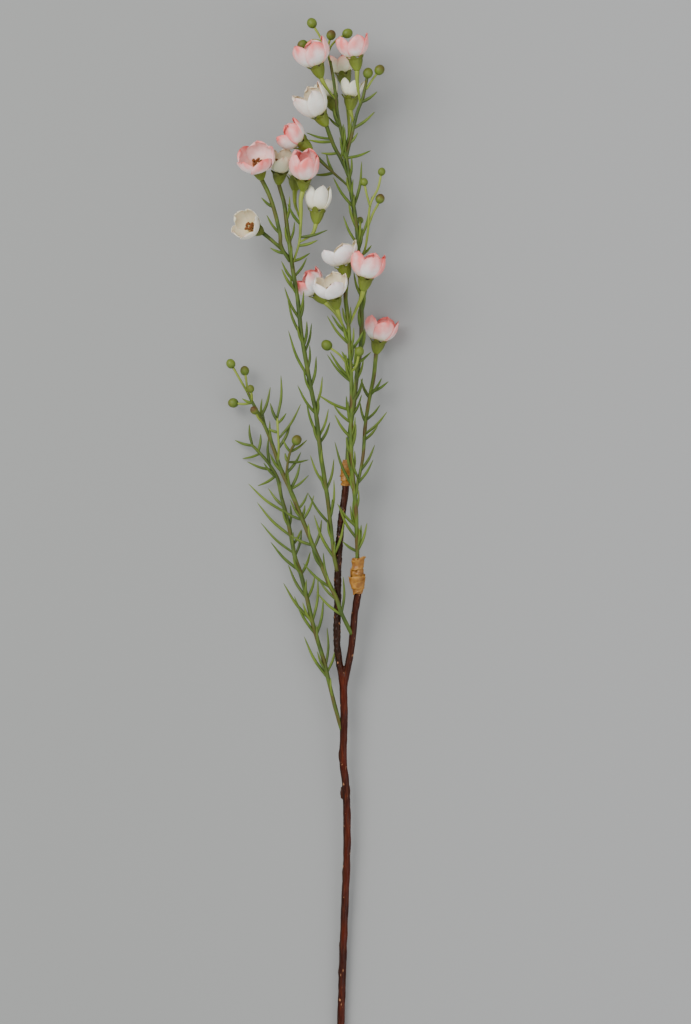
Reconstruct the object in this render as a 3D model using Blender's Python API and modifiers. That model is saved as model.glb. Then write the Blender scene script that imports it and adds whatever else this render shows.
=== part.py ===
"""An artificial waxflower stem, laid down on a table.

A forked brown stem carries five green leafy sprays, two of them bound on with tape. The sprays hold
needle leaves, round buds and cup-shaped flowers. X runs across the stem, Y along it to the tip and
Z up from the table. Routes and sizes below are in millimetres, and the objects are in metres.
"""

import math
import random

import bmesh
import bpy
from mathutils import Vector

MM = 0.001
GAP = 0.3
STEM_RADIUS = 2.6
FORK_RADIUS = 2.4
STEM_STEP = 14.0
FORK_STEP = 12.0
BUMP_RADIUS = 1.3
BUMP_END = 0.6
BUMP_REACH = 3.0
SPRAY_RADIUS = 1.7
TIP_RADIUS = 1.1
TWIG_RADIUS = 1.0
STALK_RADIUS = 0.8
BLOOM_RADIUS = 1.6
STEM_TAPER = (0.85, 1.0, 0.95)
THINNEST_ROUND = 1.2
NEEDLE_RADIUS = 1.0
NEEDLE_BOW = 0.05
NEEDLE_TAPER = (0.85, 1.0, 0.4)
LOWEST_TIP = 0.6
CLOSE_STEP = 16.0
CLOSE_LENGTH = (12, 17)
CLOSE_TURN = (6, 15)
CLOSE_RISE = (2.5, 4.5)
CLOSE_LOOK = 6.0
PETALS = 5
PETAL_THICKNESS = 0.8
PETAL_NOTCH = 0.75
PETAL_ARC_STEPS = 4
PETAL_RING_STEPS = 3
CUP_HOLE = 0.9
CUP_SWEEP = 120.0
CALYX_HEIGHT = 8.0
CALYX_RADIUS = 4.2
CALYX_FOOT = 1.7
CALYX_SINK = 0.6
CENTRE_FOOT = 1.4
CENTRE_RADIUS = 2.0
CENTRE_HEIGHT = 2.0
WRAP_TAPER = (0.92, 1.0, 0.95)
BUD_LENGTH = 1.1
BUD_SEAT = 0.4
STEM_SIDES = 8
SPRAY_SIDES = 6
STALK_SIDES = 4
NEEDLE_SIDES = 3
BUD_SIDES = 8
BUD_RINGS = 5
ROUTE_STEP = 9.0
REST_CUT = 20.0
SEED = 11

MAIN_STEM = [
    (18, -350, 2.2), (18.5, -338, 2.7), (18.5, -303, 4), (20.5, -242, 6), (22.5, -190, 8),
    (22, -154, 9.5), (20, -132, 10.5), (20.5, -105, 12), (20, -78, 13.5),
]
LEFT_FORK = [
    (20, -84, 13.2), (16.5, -62, 15), (16, -47, 16), (16.5, -28, 17.5), (16.5, -8, 19),
    (18.5, 21, 21), (21, 40, 22), (22, 53, 22),
]
RIGHT_FORK = [
    (20, -86, 13), (22.5, -74, 14), (25.5, -57, 16), (27.5, -37, 18.5), (29.5, -24, 20.5),
    (29.5, -15, 21.5),
]
NODE_BUMPS = [
    (17.5, -129.5, 10.5), (18.7, -154, 9.5), (20, -206, 7.3), (18, -254, 5.5),
    (17.2, -272, 5), (24.2, -153, 10),
]
UPPER_WRAP = [(21.4, 46.5, 22), (22, 54, 22), (22.3, 63.5, 22)]
LOWER_WRAP = [(29.5, -23.5, 20.6), (29.5, -14.5, 21.5), (29.3, -0.5, 23.1)]
UPPER_WRAP_RADIUS = 3.5
LOWER_WRAP_RADIUS = 4.1

TALL = {
    "main": [
        (22, 54, 22), (23.5, 76, 21), (27, 99, 20), (28.5, 115, 20.5), (31.5, 138, 22),
        (32, 157, 23.5), (31.5, 177, 24), (30, 195, 25), (29, 213, 27), (25.5, 235, 29),
        (23, 253, 30), (20, 271, 31), (16.5, 287, 32), (14, 308, 33), (11.5, 322, 33),
    ],
    "left": [(23.5, 248, 29.5), (18.5, 258.5, 31), (13.5, 268, 33), (9, 280, 36)],
    "twig": [(24.5, 240, 29), (20, 244, 29), (12, 251, 31), (5, 257.5, 33), (-1, 264, 33)],
    "right": [
        (22, 258, 30), (23, 263.5, 31), (26.5, 278, 33), (29.5, 289.5, 34), (33, 298.5, 36),
        (35.5, 311, 38),
    ],
    "second": [(31, 294, 35), (30, 300.5, 38), (29, 308, 40), (29, 315.5, 41)],
    "third": [
        (22, 259.5, 29), (23.5, 272, 25), (23.5, 285, 19), (22.5, 298, 12), (21.5, 308, 8.25),
    ],
    "sixth": [(27, 280.5, 33), (26, 285.5, 29), (24.5, 291, 26)],
    "first": [(15.5, 296.5, 32.5), (12, 300.5, 34.5), (8, 306, 37), (5.5, 311, 38)],
    "fifth": [(17, 285.5, 32), (16, 288.5, 27), (14.5, 291, 24)],
    "bud_1": [(12.5, 317, 33), (9.5, 328.5, 27), (6, 336.5, 25), (1, 345, 25)],
    "bud_2": [(9, 330.5, 26.5), (6, 335, 24), (1, 336.5, 23), (-4, 334.5, 22)],
    "bud_3": [(9.5, 327, 28), (10, 331, 30), (11.5, 336.5, 31)],
    "bud_4": [(10, 327.5, 27.5), (12.5, 333, 24), (17, 337.5, 23), (20.5, 339.5, 23)],
    "bud_6": [(35, 303, 37), (38, 308, 37), (42, 313.5, 38)],
    "bud_8": [
        (30, 192, 25), (34, 200, 28), (36, 211.5, 30), (37.5, 228.5, 32), (42.5, 239, 34),
        (44.5, 248, 35),
    ],
    "bud_7": [(37.5, 227, 32), (35.5, 234.5, 32), (34, 241.5, 32)],
    "bud_9": [(36.5, 215.5, 30.5), (39.5, 223.5, 31), (42, 228, 31), (43, 230.5, 31)],
    "bud_11": [(28.5, 213, 27), (31, 215.5, 24), (31, 218, 22)],
}
TALL_LEAVES = {
    "main": [
        (228, 13.5, 246.5), (227, 32, 257), (203, 38.5, 234.5), (202.5, 20, 222),
        (259.5, 38, 264), (278, 10, 286.5, -3), (265, 25.5, 284.5, 3),
    ],
    "left": [(271.5, -4, 275.5), (269, -2.5, 270.5), (262, 5.5, 262.5), (258.5, 21, 279, 5)],
    "twig": [(250, 9, 262.5), (249.5, 1.5, 248.5)],
    "right": [(295, 42, 301.5), (279, 40.5, 289), (268, 29.5, 275.5)],
    "bud_8": [(194.5, 28.5, 202.5, -3), (196, 38.5, 203, -3)],
}
MIDDLE = {
    "main": [
        (29.5, -14.4, 21.6), (29, 8, 24.5), (28, 34, 28.5), (25.5, 60, 32), (25, 83, 34),
        (25.5, 105.5, 34.5), (24.5, 131.5, 35), (23, 154.5, 35), (21.5, 168.5, 34.5),
        (22.5, 181.5, 34),
    ],
    "nearest": [(23.5, 145.5, 35), (20.5, 149, 37), (18, 154.5, 39), (16, 161.5, 41)],
    "lowest": [(23.5, 143.5, 35), (19, 152, 32), (14, 160, 27), (8, 166, 23)],
    "pink": [(24, 150.5, 35), (28.5, 161, 38), (31.5, 167.5, 41), (33, 173, 43)],
    "bud_12": [(24.5, 122, 35), (18.5, 130.5, 34), (11.5, 136, 32)],
    "bud_13": [(25, 119.5, 35), (28.5, 124.5, 38), (30, 131, 40)],
    "side": [
        (27.5, 42, 29.5), (30, 50.5, 30), (33, 66.5, 28), (34, 81.5, 25), (35.5, 94.5, 20.5),
        (37.5, 105.5, 16), (40, 118.5, 11.5), (41.5, 133.5, 8.95),
    ],
}
MIDDLE_LEAVES = {
    "main": [
        (20, 16, 35, 9), (12.5, 17, 33.5, 10), (4, 35.5, 22.5), (4, 19.5, 10.5), (45, 14.5, 75),
        (95, 3.5, 105.5), (87, 13.5, 99), (76.5, 14.5, 92.5), (138, 9.5, 156.5),
        (144.5, 12.5, 157), (113.5, 9.5, 131.5), (116, 11.5, 133), (133.5, 33, 146.5),
        (126, 19, 133.5), (123, 38, 133),
    ],
    "side": [
        (89.5, 44, 99), (79, 48.5, 94.5), (76.5, 42.5, 85.5), (108, 49.5, 114.5),
        (105, 45, 116.5), (103.5, 31.5, 116.5, -6), (88, 31, 101, -6), (49, 39.5, 63.5),
        (57, 40.5, 73), (50.5, 25.5, 66.5, 7),
    ],
}
FLOWERING = {
    "main": [
        (16, -9, 20.5), (14, 1.5, 22.5), (12, 19, 24), (10, 37.5, 26), (7.5, 53.5, 28),
        (5, 70, 30), (2.5, 92.5, 31.5), (-1, 110, 32.5), (-4, 127, 33.5), (-7, 144.5, 34),
        (-9.5, 167.5, 34), (-12.5, 185.5, 33), (-14.5, 200, 32), (-17, 219.5, 29.5),
        (-18.5, 230.5, 28), (-22, 243, 26),
    ],
    "facing": [
        (-14.5, 192, 32.5), (-20, 201, 35), (-21, 209.5, 36.5), (-24.5, 224.5, 37),
        (-28, 235, 37), (-33, 245.5, 36),
    ],
    "slit": [
        (-13.5, 188, 32.5), (-10, 198.5, 33), (-8, 207.5, 34), (-7.5, 221.5, 35.5),
        (-7.5, 231, 36.5), (-6, 238, 36.5),
    ],
    "white": [(-8, 204.5, 34), (-3.5, 207, 33), (0.5, 210.5, 32), (2.5, 217, 31.5)],
    "hidden": [(-7.5, 218.5, 35), (-9.5, 224, 28), (-11.5, 231, 16), (-11.5, 240, 7.75)],
    "side": [(-15, 194.5, 32), (-21, 201, 28), (-27, 206.5, 26), (-33, 211.5, 24)],
}
FLOWERING_LEAVES = {
    "main": [
        (203, -11.5, 218, -4), (181.5, -3.5, 194.5, -3), (191, -1.5, 197.5, -3),
        (178.5, -20, 192), (172, -20, 187), (154.5, -18, 175), (157.5, -5.5, 172.5, 5),
        (141.5, -16, 167.5), (136, -3.5, 153), (133, -0.5, 152, -3), (116.5, -15.5, 147),
        (110, 2.5, 130.5, -4), (92.5, -9.5, 111.5), (78.5, -4, 101.5), (96, 6.5, 117.5, -5),
        (77.5, 10.5, 96.5, -4), (73, 11.5, 88, -5), (45, -1.5, 66.5), (44, 14, 64, -3),
        (24.5, 14, 50.5, 3), (21, -3, 42), (-1.5, 1, 27.5), (1.5, 20.5, 23.5, 3.5),
    ],
    "facing": [(226, -33, 233), (209.5, -29.5, 221.5), (201, -27.5, 207)],
    "slit": [(206.5, 10, 212, 5), (202.5, 3.5, 205.5, 3), (216, -16, 229, 4)],
    "side": [(197.5, -27.5, 201, -2)],
}
LOW_LEFT = {
    "main": [
        (19, -113, 12), (15.5, -100.5, 12.5), (11.5, -85, 12.5), (8, -70, 12.5),
        (3.5, -55, 12), (-0.5, -40.5, 12), (-3.5, -27.5, 11.5), (-7.5, -11.5, 11),
        (-11.5, 0.5, 10.5), (-14, 13.5, 10), (-17, 27, 10), (-20.5, 40, 9.5),
        (-23, 51.5, 9), (-29, 61.5, 8.5), (-35.5, 69, 8), (-40.5, 74, 8),
    ],
}
LOW_LEFT_LEAVES = {
    "main": [
        (-78.5, -5.5, -52), (-71, 9.5, -46), (-76.5, 15.5, -57.5, -5), (-51.5, -12, -25.5),
        (-42, -19, -17), (-51.5, 7, -27.5), (-42, 3.5, -13.5), (-28.5, 1.5, -12),
        (-27.5, -16, -5), (-10, -27.5, 10), (-11.5, -1.5, 3.5), (-0.5, -7, 18),
        (3, -34, 22.5), (13.5, -36.5, 36), (8, -7.5, 18), (29.5, -42, 48), (33, -29, 45),
        (20, -14.5, 34), (59.5, -29, 78.5), (64, -30.5, 62.5), (73, -41.5, 87),
        (72.5, -51, 76.5), (68.5, -34, 80.5), (68, -46, 64.5, -8), (57.5, -43, 62.5),
        (53.5, -36, 46.5),
    ],
}
HIGH_LEFT = {
    "main": [
        (25.5, -50, 18), (19, -36.5, 22.5), (15.5, -26.5, 23), (10.5, -16.5, 22),
        (5, -3.5, 20.5), (-0.5, 9.5, 19), (-5.5, 22, 18), (-10, 33, 17.5), (-14.5, 44, 17),
        (-20.5, 57, 16.5), (-25, 70, 16), (-30, 83, 16), (-36.5, 96, 16), (-40.5, 103.5, 16),
        (-42.5, 108, 16),
    ],
    "shoot": [(-22.5, 62.5, 16.5), (-22, 71, 19), (-22.5, 83, 20.5), (-23, 90.5, 21)],
    "twig": [(-17.5, 50.5, 17), (-16, 62, 19), (-14.5, 68.5, 20.5), (-11.5, 74, 22)],
    "bud_14": [(-42.5, 107.5, 16), (-47, 115.5, 18), (-52, 124, 19)],
    "bud_15": [(-42, 106.5, 16), (-43, 113, 13), (-44, 119.5, 11)],
    "bud_16": [(-39.5, 101, 16), (-39.5, 105, 20), (-40, 108, 22)],
    "bud_17": [(-39.5, 100.5, 16), (-45, 100, 13), (-49.5, 100.5, 11)],
    "bud_18": [(-32, 87, 16), (-35, 90.5, 20), (-37, 94, 22)],
}
HIGH_LEFT_LEAVES = {
    "main": [
        (90.5, -27.5, 111), (81.5, -32, 93.5), (32, -3, 42), (24.5, 1, 40.5), (26.5, -5, 34),
        (24.5, -21, 32), (5.5, 6, 24.5), (7, -14.5, 14.5), (-20, -6, -4), (-27.5, 3, -12.5),
        (-18, 7, 3), (-35.5, 20, -12.5, 2), (-38.5, 2.5, -22.5), (44, -2.5, 53.5),
        (88, -33, 103.5), (100, -46, 103.5), (44, -8, 61.5),
    ],
    "shoot": [
        (90, -20.5, 118.5), (89.5, -27.5, 100.5), (87, -17, 94), (80.5, -29, 84),
        (76.5, -7.5, 100), (71, -14, 88),
    ],
    "twig": [
        (68, -3.5, 76.5), (68, -19, 76.5), (62, -2.5, 63.5), (62, -18, 68), (54.5, -7.5, 68.5),
    ],
}
# Each spray: its stems, its leaves, its buds' sizes, and the least and most that its leaf tips rise.
SPRAYS = {
    "spray_tall": (
        TALL,
        TALL_LEAVES,
        {
            "bud_1": 6.5, "bud_2": 6.5, "bud_3": 6.2, "bud_4": 6.5, "right": 6.5, "bud_6": 6.5,
            "bud_7": 5, "bud_8": 5, "bud_9": 6, "bud_11": 4.5,
        },
        (-4, 4),
    ),
    "spray_middle": (MIDDLE, MIDDLE_LEAVES, {"bud_12": 7, "bud_13": 6}, (2, 6)),
    "spray_flowering": (FLOWERING, FLOWERING_LEAVES, {}, (1, 5)),
    "spray_low_left": (LOW_LEFT, LOW_LEFT_LEAVES, {}, (-7, 0)),
    "spray_high_left": (
        HIGH_LEFT,
        HIGH_LEFT_LEAVES,
        {"bud_14": 6, "bud_15": 6, "bud_16": 5, "bud_17": 6.5, "bud_18": 5.2, "twig": 6.5},
        (-3, 0),
    ),
}
# Each flower: the spray and stem that end in it, where it faces, its width and how deep it cups.
FLOWERS = {
    "flower_1": ("spray_tall", "first", (-0.33, 0.92, 0.2), 23, 17),
    "flower_2": ("spray_tall", "second", (-0.15, 0.97, 0.12), 20, 15),
    "flower_3": ("spray_tall", "third", (-0.15, 0.98, 0), 16, 13),
    "flower_4": ("spray_tall", "left", (-0.5, 0.8, 0.25), 21, 19),
    "flower_5": ("spray_tall", "fifth", (-0.35, 0.92, 0), 15, 12),
    "flower_6": ("spray_tall", "sixth", (0.1, 0.99, 0), 14, 12),
    "flower_7": ("spray_flowering", "facing", (-0.2, 0.74, 0.64), 24, 14),
    "flower_8": ("spray_tall", "twig", (-0.78, 0.6, 0.1), 19, 15),
    "flower_9": ("spray_flowering", "slit", (0.05, 0.88, 0.45), 19, 18),
    "flower_10": ("spray_flowering", "main", (0.1, 0.9, 0.42), 17, 14),
    "flower_11": ("spray_flowering", "hidden", (0.05, 0.99, 0), 15, 17),
    "flower_12": ("spray_flowering", "white", (0.08, 0.97, 0), 17, 16),
    "flower_13": ("spray_flowering", "side", (-0.62, 0.25, 0.74), 19, 12),
    "flower_14": ("spray_middle", "main", (-0.27, 0.95, 0.05), 23, 14),
    "flower_15": ("spray_middle", "lowest", (-0.6, 0.78, 0.08), 19.5, 15),
    "flower_16": ("spray_middle", "nearest", (-0.25, 0.88, 0.42), 22, 14),
    "flower_17": ("spray_middle", "pink", (0.18, 0.95, 0.2), 21.5, 17),
    "flower_18": ("spray_middle", "side", (0.2, 0.95, 0.1), 21, 16),
}
THIN_STEMS = {"main": SPRAY_RADIUS, "side": 1.3, "right": 1.3, "left": 1.3, "facing": 1.5}
# The stretch of each main stem that also has leaves lying close over it.
CLOSE_LEAVES = {
    "spray_tall": (70, 285), "spray_middle": (6, 160), "spray_flowering": (-6, 225),
    "spray_low_left": (-92, 60), "spray_high_left": (-24, 88),
}


def clear_scene():
    for item in list(bpy.data.objects):
        bpy.data.objects.remove(item, do_unlink=True)


def new_collection(name):
    group = bpy.data.collections.new(name)
    bpy.context.scene.collection.children.link(group)
    return group


def make_material(name, colour, roughness):
    material = bpy.data.materials.new(name)
    material.use_nodes = True
    shader = material.node_tree.nodes["Principled BSDF"]
    shader.inputs["Base Color"].default_value = (*colour, 1)
    shader.inputs["Roughness"].default_value = roughness
    shader.inputs["Metallic"].default_value = 0
    return material


def along(points, step=ROUTE_STEP):
    """A smooth curve through the points, with a point about every step."""
    knots = [Vector(p) for p in points]
    padded = [2 * knots[0] - knots[1], *knots, 2 * knots[-1] - knots[-2]]
    found = [knots[0]]
    for a, b, c, d in zip(padded, padded[1:], padded[2:], padded[3:]):
        pieces = max(1, round((c - b).length / step))
        for i in range(1, pieces + 1):
            t = i / pieces
            found.append(
                0.5 * (2 * b + (c - a) * t + (2 * a - 5 * b + 4 * c - d) * t * t
                       + (3 * b - a - 3 * c + d) * t ** 3)
            )
    return found


def point_at(points, y):
    """The point of a route at this place along the stem."""
    curve = along(points, 2.0)
    return min(curve, key=lambda p: abs(p.y - y))


def link(mesh, name, group):
    made = bpy.data.objects.new(name, mesh)
    group.objects.link(made)
    return made


def profile(sides):
    curve = bpy.data.curves.new("profile", "CURVE")
    spline = curve.splines.new("POLY")
    spline.points.add(sides - 1)
    for i, point in enumerate(spline.points):
        angle = 2 * math.pi * (i + 0.5) / sides
        point.co = (math.sin(angle), -math.cos(angle), 0, 1)
    spline.use_cyclic_u = True
    return bpy.data.objects.new("profile", curve)


def tube(name, points, radii, sides, group):
    """A closed tube of this many sides, its radius running evenly through radii."""
    curve = bpy.data.curves.new(name, "CURVE")
    curve.dimensions = "3D"
    curve.bevel_mode = "OBJECT"
    curve.bevel_object = profile(sides)
    curve.use_fill_caps = True
    spline = curve.splines.new("POLY")
    spline.points.add(len(points) - 1)
    for i, (point, place) in enumerate(zip(spline.points, points)):
        at = i / (len(points) - 1) * (len(radii) - 1)
        low = min(int(at), len(radii) - 2)
        point.co = (*(Vector(place) * MM), 1)
        point.radius = (radii[low] + (radii[low + 1] - radii[low]) * (at - low)) * MM
    drawn = bpy.data.objects.new(name, curve)
    group.objects.link(drawn)
    bpy.context.view_layer.update()
    graph = bpy.context.evaluated_depsgraph_get()
    mesh = bpy.data.meshes.new_from_object(drawn.evaluated_get(graph))
    bpy.data.objects.remove(curve.bevel_object, do_unlink=True)
    bpy.data.objects.remove(drawn, do_unlink=True)
    return closed(mesh, name, group)


def closed(mesh, name, group):
    """Welds a mesh's seams and caps, turns its faces outwards and gives it an object."""
    shape = bmesh.new()
    shape.from_mesh(mesh)
    bmesh.ops.remove_doubles(shape, verts=shape.verts, dist=1e-6)
    bmesh.ops.recalc_face_normals(shape, faces=shape.faces)
    shape.to_mesh(mesh)
    shape.free()
    return link(mesh, name, group)


def aim_at(made, place, facing):
    made.location = Vector(place) * MM
    made.rotation_euler = Vector(facing).to_track_quat("Z", "Y").to_euler()
    return made


def cone(name, place, facing, low, high, height, group):
    """A cone or cup that stands on place and opens towards facing."""
    shape = bmesh.new()
    bmesh.ops.create_cone(
        shape, cap_ends=True, segments=BUD_SIDES, radius1=low * MM, radius2=high * MM,
        depth=height * MM,
    )
    bmesh.ops.translate(shape, verts=shape.verts, vec=(0, 0, height * MM / 2))
    mesh = bpy.data.meshes.new(name)
    shape.to_mesh(mesh)
    shape.free()
    return aim_at(link(mesh, name, group), place, facing)


def bud(name, points, width, group):
    """A round bud on the end of its stalk, a little longer than it is wide."""
    end = Vector(points[-1])
    facing = end - Vector(points[-2])
    shape = bmesh.new()
    bmesh.ops.create_uvsphere(
        shape, u_segments=BUD_SIDES, v_segments=BUD_RINGS, radius=width / 2 * MM
    )
    bmesh.ops.scale(shape, verts=shape.verts, vec=(1, 1, BUD_LENGTH))
    bmesh.ops.translate(shape, verts=shape.verts, vec=(0, 0, width * BUD_SEAT * MM))
    mesh = bpy.data.meshes.new(name)
    shape.to_mesh(mesh)
    shape.free()
    return aim_at(link(mesh, name, group), end, facing)


def needle(name, stem, leaf, rise, group):
    """A three-sided leaf from the middle of its stem to its tip, bowed down and outwards."""
    base = point_at(stem, leaf[0])
    lift = leaf[3] if len(leaf) > 3 else rise
    tip = Vector((leaf[1], leaf[2], max(LOWEST_TIP, base.z + lift)))
    reach = tip - base
    side = Vector((reach.y, -reach.x, 0)) * math.copysign(1, reach.x)
    middle = base + reach * 0.5 + side * NEEDLE_BOW
    radii = [NEEDLE_RADIUS * part for part in NEEDLE_TAPER]
    return tube(name, [base, middle, tip], radii, NEEDLE_SIDES, group)


def close_leaves(name, points):
    """Leaves that lie close over a main stem, by turns to its right and to its left."""
    draw = random.Random(f"{SEED} close {name}")
    y, last = CLOSE_LEAVES[name]
    side = 1
    found = []
    while y < last:
        base = point_at(points, y)
        ahead = (point_at(points, y + CLOSE_LOOK) - base).normalized()
        turn = math.radians(draw.uniform(*CLOSE_TURN)) * side
        length = draw.uniform(*CLOSE_LENGTH)
        across = ahead.x * math.cos(turn) + ahead.y * math.sin(turn)
        onward = ahead.y * math.cos(turn) - ahead.x * math.sin(turn)
        rise = draw.uniform(*CLOSE_RISE)
        found.append((y, base.x + across * length, base.y + onward * length, rise))
        side = -side
        y += CLOSE_STEP
    return found


def fuse(body, group, operation="UNION"):
    """Joins everything in the group to the body, or cuts it from the body, then drops the group."""
    join = body.modifiers.new("fuse", "BOOLEAN")
    join.operation = operation
    join.operand_type = "COLLECTION"
    join.collection = group
    join.solver = "MANIFOLD"
    bpy.context.view_layer.update()
    graph = bpy.context.evaluated_depsgraph_get()
    mesh = bpy.data.meshes.new_from_object(body.evaluated_get(graph))
    body.modifiers.clear()
    body.data = mesh
    for item in list(group.objects):
        bpy.data.objects.remove(item, do_unlink=True)
    bpy.data.collections.remove(group)


def stem_radii(spray, name):
    """A stem's radius from foot to tip: thin under a bud, and swelling under a flower."""
    wide = THIN_STEMS.get(name, TWIG_RADIUS if name == "twig" else STALK_RADIUS)
    radii = [wide * part for part in STEM_TAPER]
    if any(flower[:2] == (spray, name) for flower in FLOWERS.values()):
        radii[-1] = (radii[-1] + BLOOM_RADIUS) / 2
        return [*radii, BLOOM_RADIUS]
    return [*radii, max(STALK_RADIUS, min(wide, TIP_RADIUS))]


def make_spray(name, parts):
    stems, leaves, buds, (least, most) = SPRAYS[name]
    draw = random.Random(f"{SEED} {name}")
    body = tube(name, along(stems["main"]), stem_radii(name, "main"), SPRAY_SIDES, parts)
    group = new_collection("to fuse")
    for stem, points in stems.items():
        if stem != "main":
            radii = stem_radii(name, stem)
            sides = STALK_SIDES if radii[1] < THINNEST_ROUND else SPRAY_SIDES
            tube(stem, along(points), radii, sides, group)
        for leaf in leaves.get(stem, ()):
            needle("leaf", points, leaf, draw.uniform(least, most), group)
        if stem in buds:
            bud("bud", points, buds[stem], group)
    for leaf in close_leaves(name, stems["main"]):
        needle("leaf", stems["main"], leaf, 0, group)
    for spray, stem, facing, width, depth in FLOWERS.values():
        if spray == name:
            foot = Vector(stems[stem][-1]) - Vector(facing).normalized() * CALYX_SINK
            cone("calyx", foot, facing, CALYX_FOOT, CALYX_RADIUS, CALYX_HEIGHT, group)
    fuse(body, group)
    return body


def cup_wall(out, reach, depth):
    """The radius and height of a goblet's wall, from its foot at 0 to its rim at 1."""
    turn = math.radians(CUP_SWEEP) * out
    full = 1 - math.cos(math.radians(CUP_SWEEP))
    return CUP_HOLE + (reach - CUP_HOLE) * math.sin(turn), depth * (1 - math.cos(turn)) / full


def corolla(name, place, facing, width, depth, parts):
    """The petals of one flower: a thin goblet whose rim rises in rounded lobes."""
    shape = bmesh.new()
    around = PETALS * PETAL_ARC_STEPS
    bmesh.ops.create_grid(shape, x_segments=around, y_segments=PETAL_RING_STEPS, size=1)
    for vert in shape.verts:
        turn = (vert.co.x + 1) * math.pi
        lobe = math.sqrt(abs(math.sin(turn * PETALS / 2)))
        out = (vert.co.y + 1) / 2 * (PETAL_NOTCH + (1 - PETAL_NOTCH) * lobe)
        radius, height = cup_wall(out, width / 2, depth)
        vert.co = Vector((math.cos(turn) * radius, math.sin(turn) * radius, height)) * MM
    bmesh.ops.remove_doubles(shape, verts=shape.verts, dist=1e-6)
    bmesh.ops.recalc_face_normals(shape, faces=shape.faces)
    mesh = bpy.data.meshes.new(name)
    shape.to_mesh(mesh)
    shape.free()
    made = aim_at(link(mesh, name, parts), place, facing)
    thick = made.modifiers.new("thickness", "SOLIDIFY")
    thick.thickness = PETAL_THICKNESS * MM
    thick.offset = 0
    return made


def make_flower(name, parts):
    spray, stem, facing, width, depth = FLOWERS[name]
    foot = Vector(SPRAYS[spray][0][stem][-1])
    axis = Vector(facing).normalized()
    cup = foot + axis * (CALYX_HEIGHT - CALYX_SINK + GAP + PETAL_THICKNESS / 2)
    petals = corolla(f"{name}_petals", cup, facing, width, depth, parts)
    radius, height = cup_wall(1 / PETAL_RING_STEPS, width / 2, depth)
    slope = height * (CENTRE_FOOT - CUP_HOLE) / (radius - CUP_HOLE)
    seat = cup + axis * (slope + PETAL_THICKNESS / 2 + 3 * GAP)
    centre = cone(
        f"{name}_centre", seat, facing, CENTRE_FOOT, CENTRE_RADIUS, CENTRE_HEIGHT, parts
    )
    return petals, centre


def sleeve(points, radius, group):
    """A cutter a gap wider than the tube on these points, and a gap longer at its start."""
    first, second = Vector(points[0]), Vector(points[1])
    back = first - (second - first).normalized() * 2 * GAP
    hole = [back, *map(Vector, points[1:])]
    return tube("hole", hole, [radius + GAP] * 2, STEM_SIDES, group)


def floor_cut(group):
    """A block whose top is the table, to leave a small flat under the cut end."""
    bpy.ops.mesh.primitive_cube_add(size=REST_CUT * MM)
    block = bpy.context.object
    for owner in list(block.users_collection):
        owner.objects.unlink(block)
    group.objects.link(block)
    end = Vector(MAIN_STEM[0])
    block.location = Vector((end.x, end.y, -REST_CUT / 2)) * MM
    return block


def make_stem(parts):
    """The brown stem: one fork, a few knots, sockets for three sprays and a flat to rest on."""
    body = tube("brown_stem", along(MAIN_STEM, STEM_STEP), [STEM_RADIUS] * 2, STEM_SIDES, parts)
    group = new_collection("to fuse")
    for fork in (LEFT_FORK, RIGHT_FORK):
        tube("fork", along(fork, FORK_STEP), [FORK_RADIUS] * 2, STEM_SIDES, group)
    for place in NODE_BUMPS:
        x, y, z = place
        knot = [(x, y - BUMP_REACH, z), place, (x, y + BUMP_REACH, z)]
        tube("knot", knot, [BUMP_END, BUMP_RADIUS, BUMP_END], STALK_SIDES, group)
    fuse(body, group)
    cutters = new_collection("to cut")
    for spray in ("spray_low_left", "spray_high_left", "spray_flowering"):
        sleeve(along(SPRAYS[spray][0]["main"])[:3], SPRAY_RADIUS, cutters)
    floor_cut(cutters)
    fuse(body, cutters, "DIFFERENCE")
    return body


def make_wrap(name, middle, radius, stem, spray, parts):
    """A wound tape that holds the foot of a spray to the end of a fork."""
    body = tube(name, middle, [radius * part for part in WRAP_TAPER], STEM_SIDES, parts)
    cutters = new_collection("to cut")
    sleeve(along(stem, FORK_STEP)[::-1][:4], FORK_RADIUS, cutters)
    sleeve(along(SPRAYS[spray][0]["main"])[:4], SPRAY_RADIUS, cutters)
    fuse(body, cutters, "DIFFERENCE")
    return body


def finish(made, material):
    made.data.materials.clear()
    made.data.materials.append(material)
    made.data.shade_smooth()
    made.data.set_sharp_from_angle(angle=math.radians(40))


def build():
    clear_scene()
    parts = new_collection("waxflower_stem")
    bark = make_material("bark", (0.1, 0.03, 0.016), 0.45)
    tape = make_material("tape", (0.55, 0.3, 0.08), 0.6)
    green = make_material("leaf green", (0.12, 0.2, 0.03), 0.55)
    petal = make_material("petal", (0.85, 0.72, 0.7), 0.6)
    heart = make_material("flower centre", (0.35, 0.15, 0.03), 0.6)
    finish(make_stem(parts), bark)
    wraps = (
        ("wrap_upper", UPPER_WRAP, UPPER_WRAP_RADIUS, LEFT_FORK, "spray_tall"),
        ("wrap_lower", LOWER_WRAP, LOWER_WRAP_RADIUS, RIGHT_FORK, "spray_middle"),
    )
    for wrap in wraps:
        finish(make_wrap(*wrap, parts), tape)
    for name in SPRAYS:
        finish(make_spray(name, parts), green)
    for name in FLOWERS:
        petals, centre = make_flower(name, parts)
        finish(petals, petal)
        finish(centre, heart)


build()
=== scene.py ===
"""The looks of the artificial waxflower stem: bark, tape, leaves, buds and petals, on a pale floor.

Places and sizes are in millimetres, as in the model, and each mesh is written in metres.
"""

import math
import random

import bpy
import numpy as np
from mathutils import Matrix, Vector, noise


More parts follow.
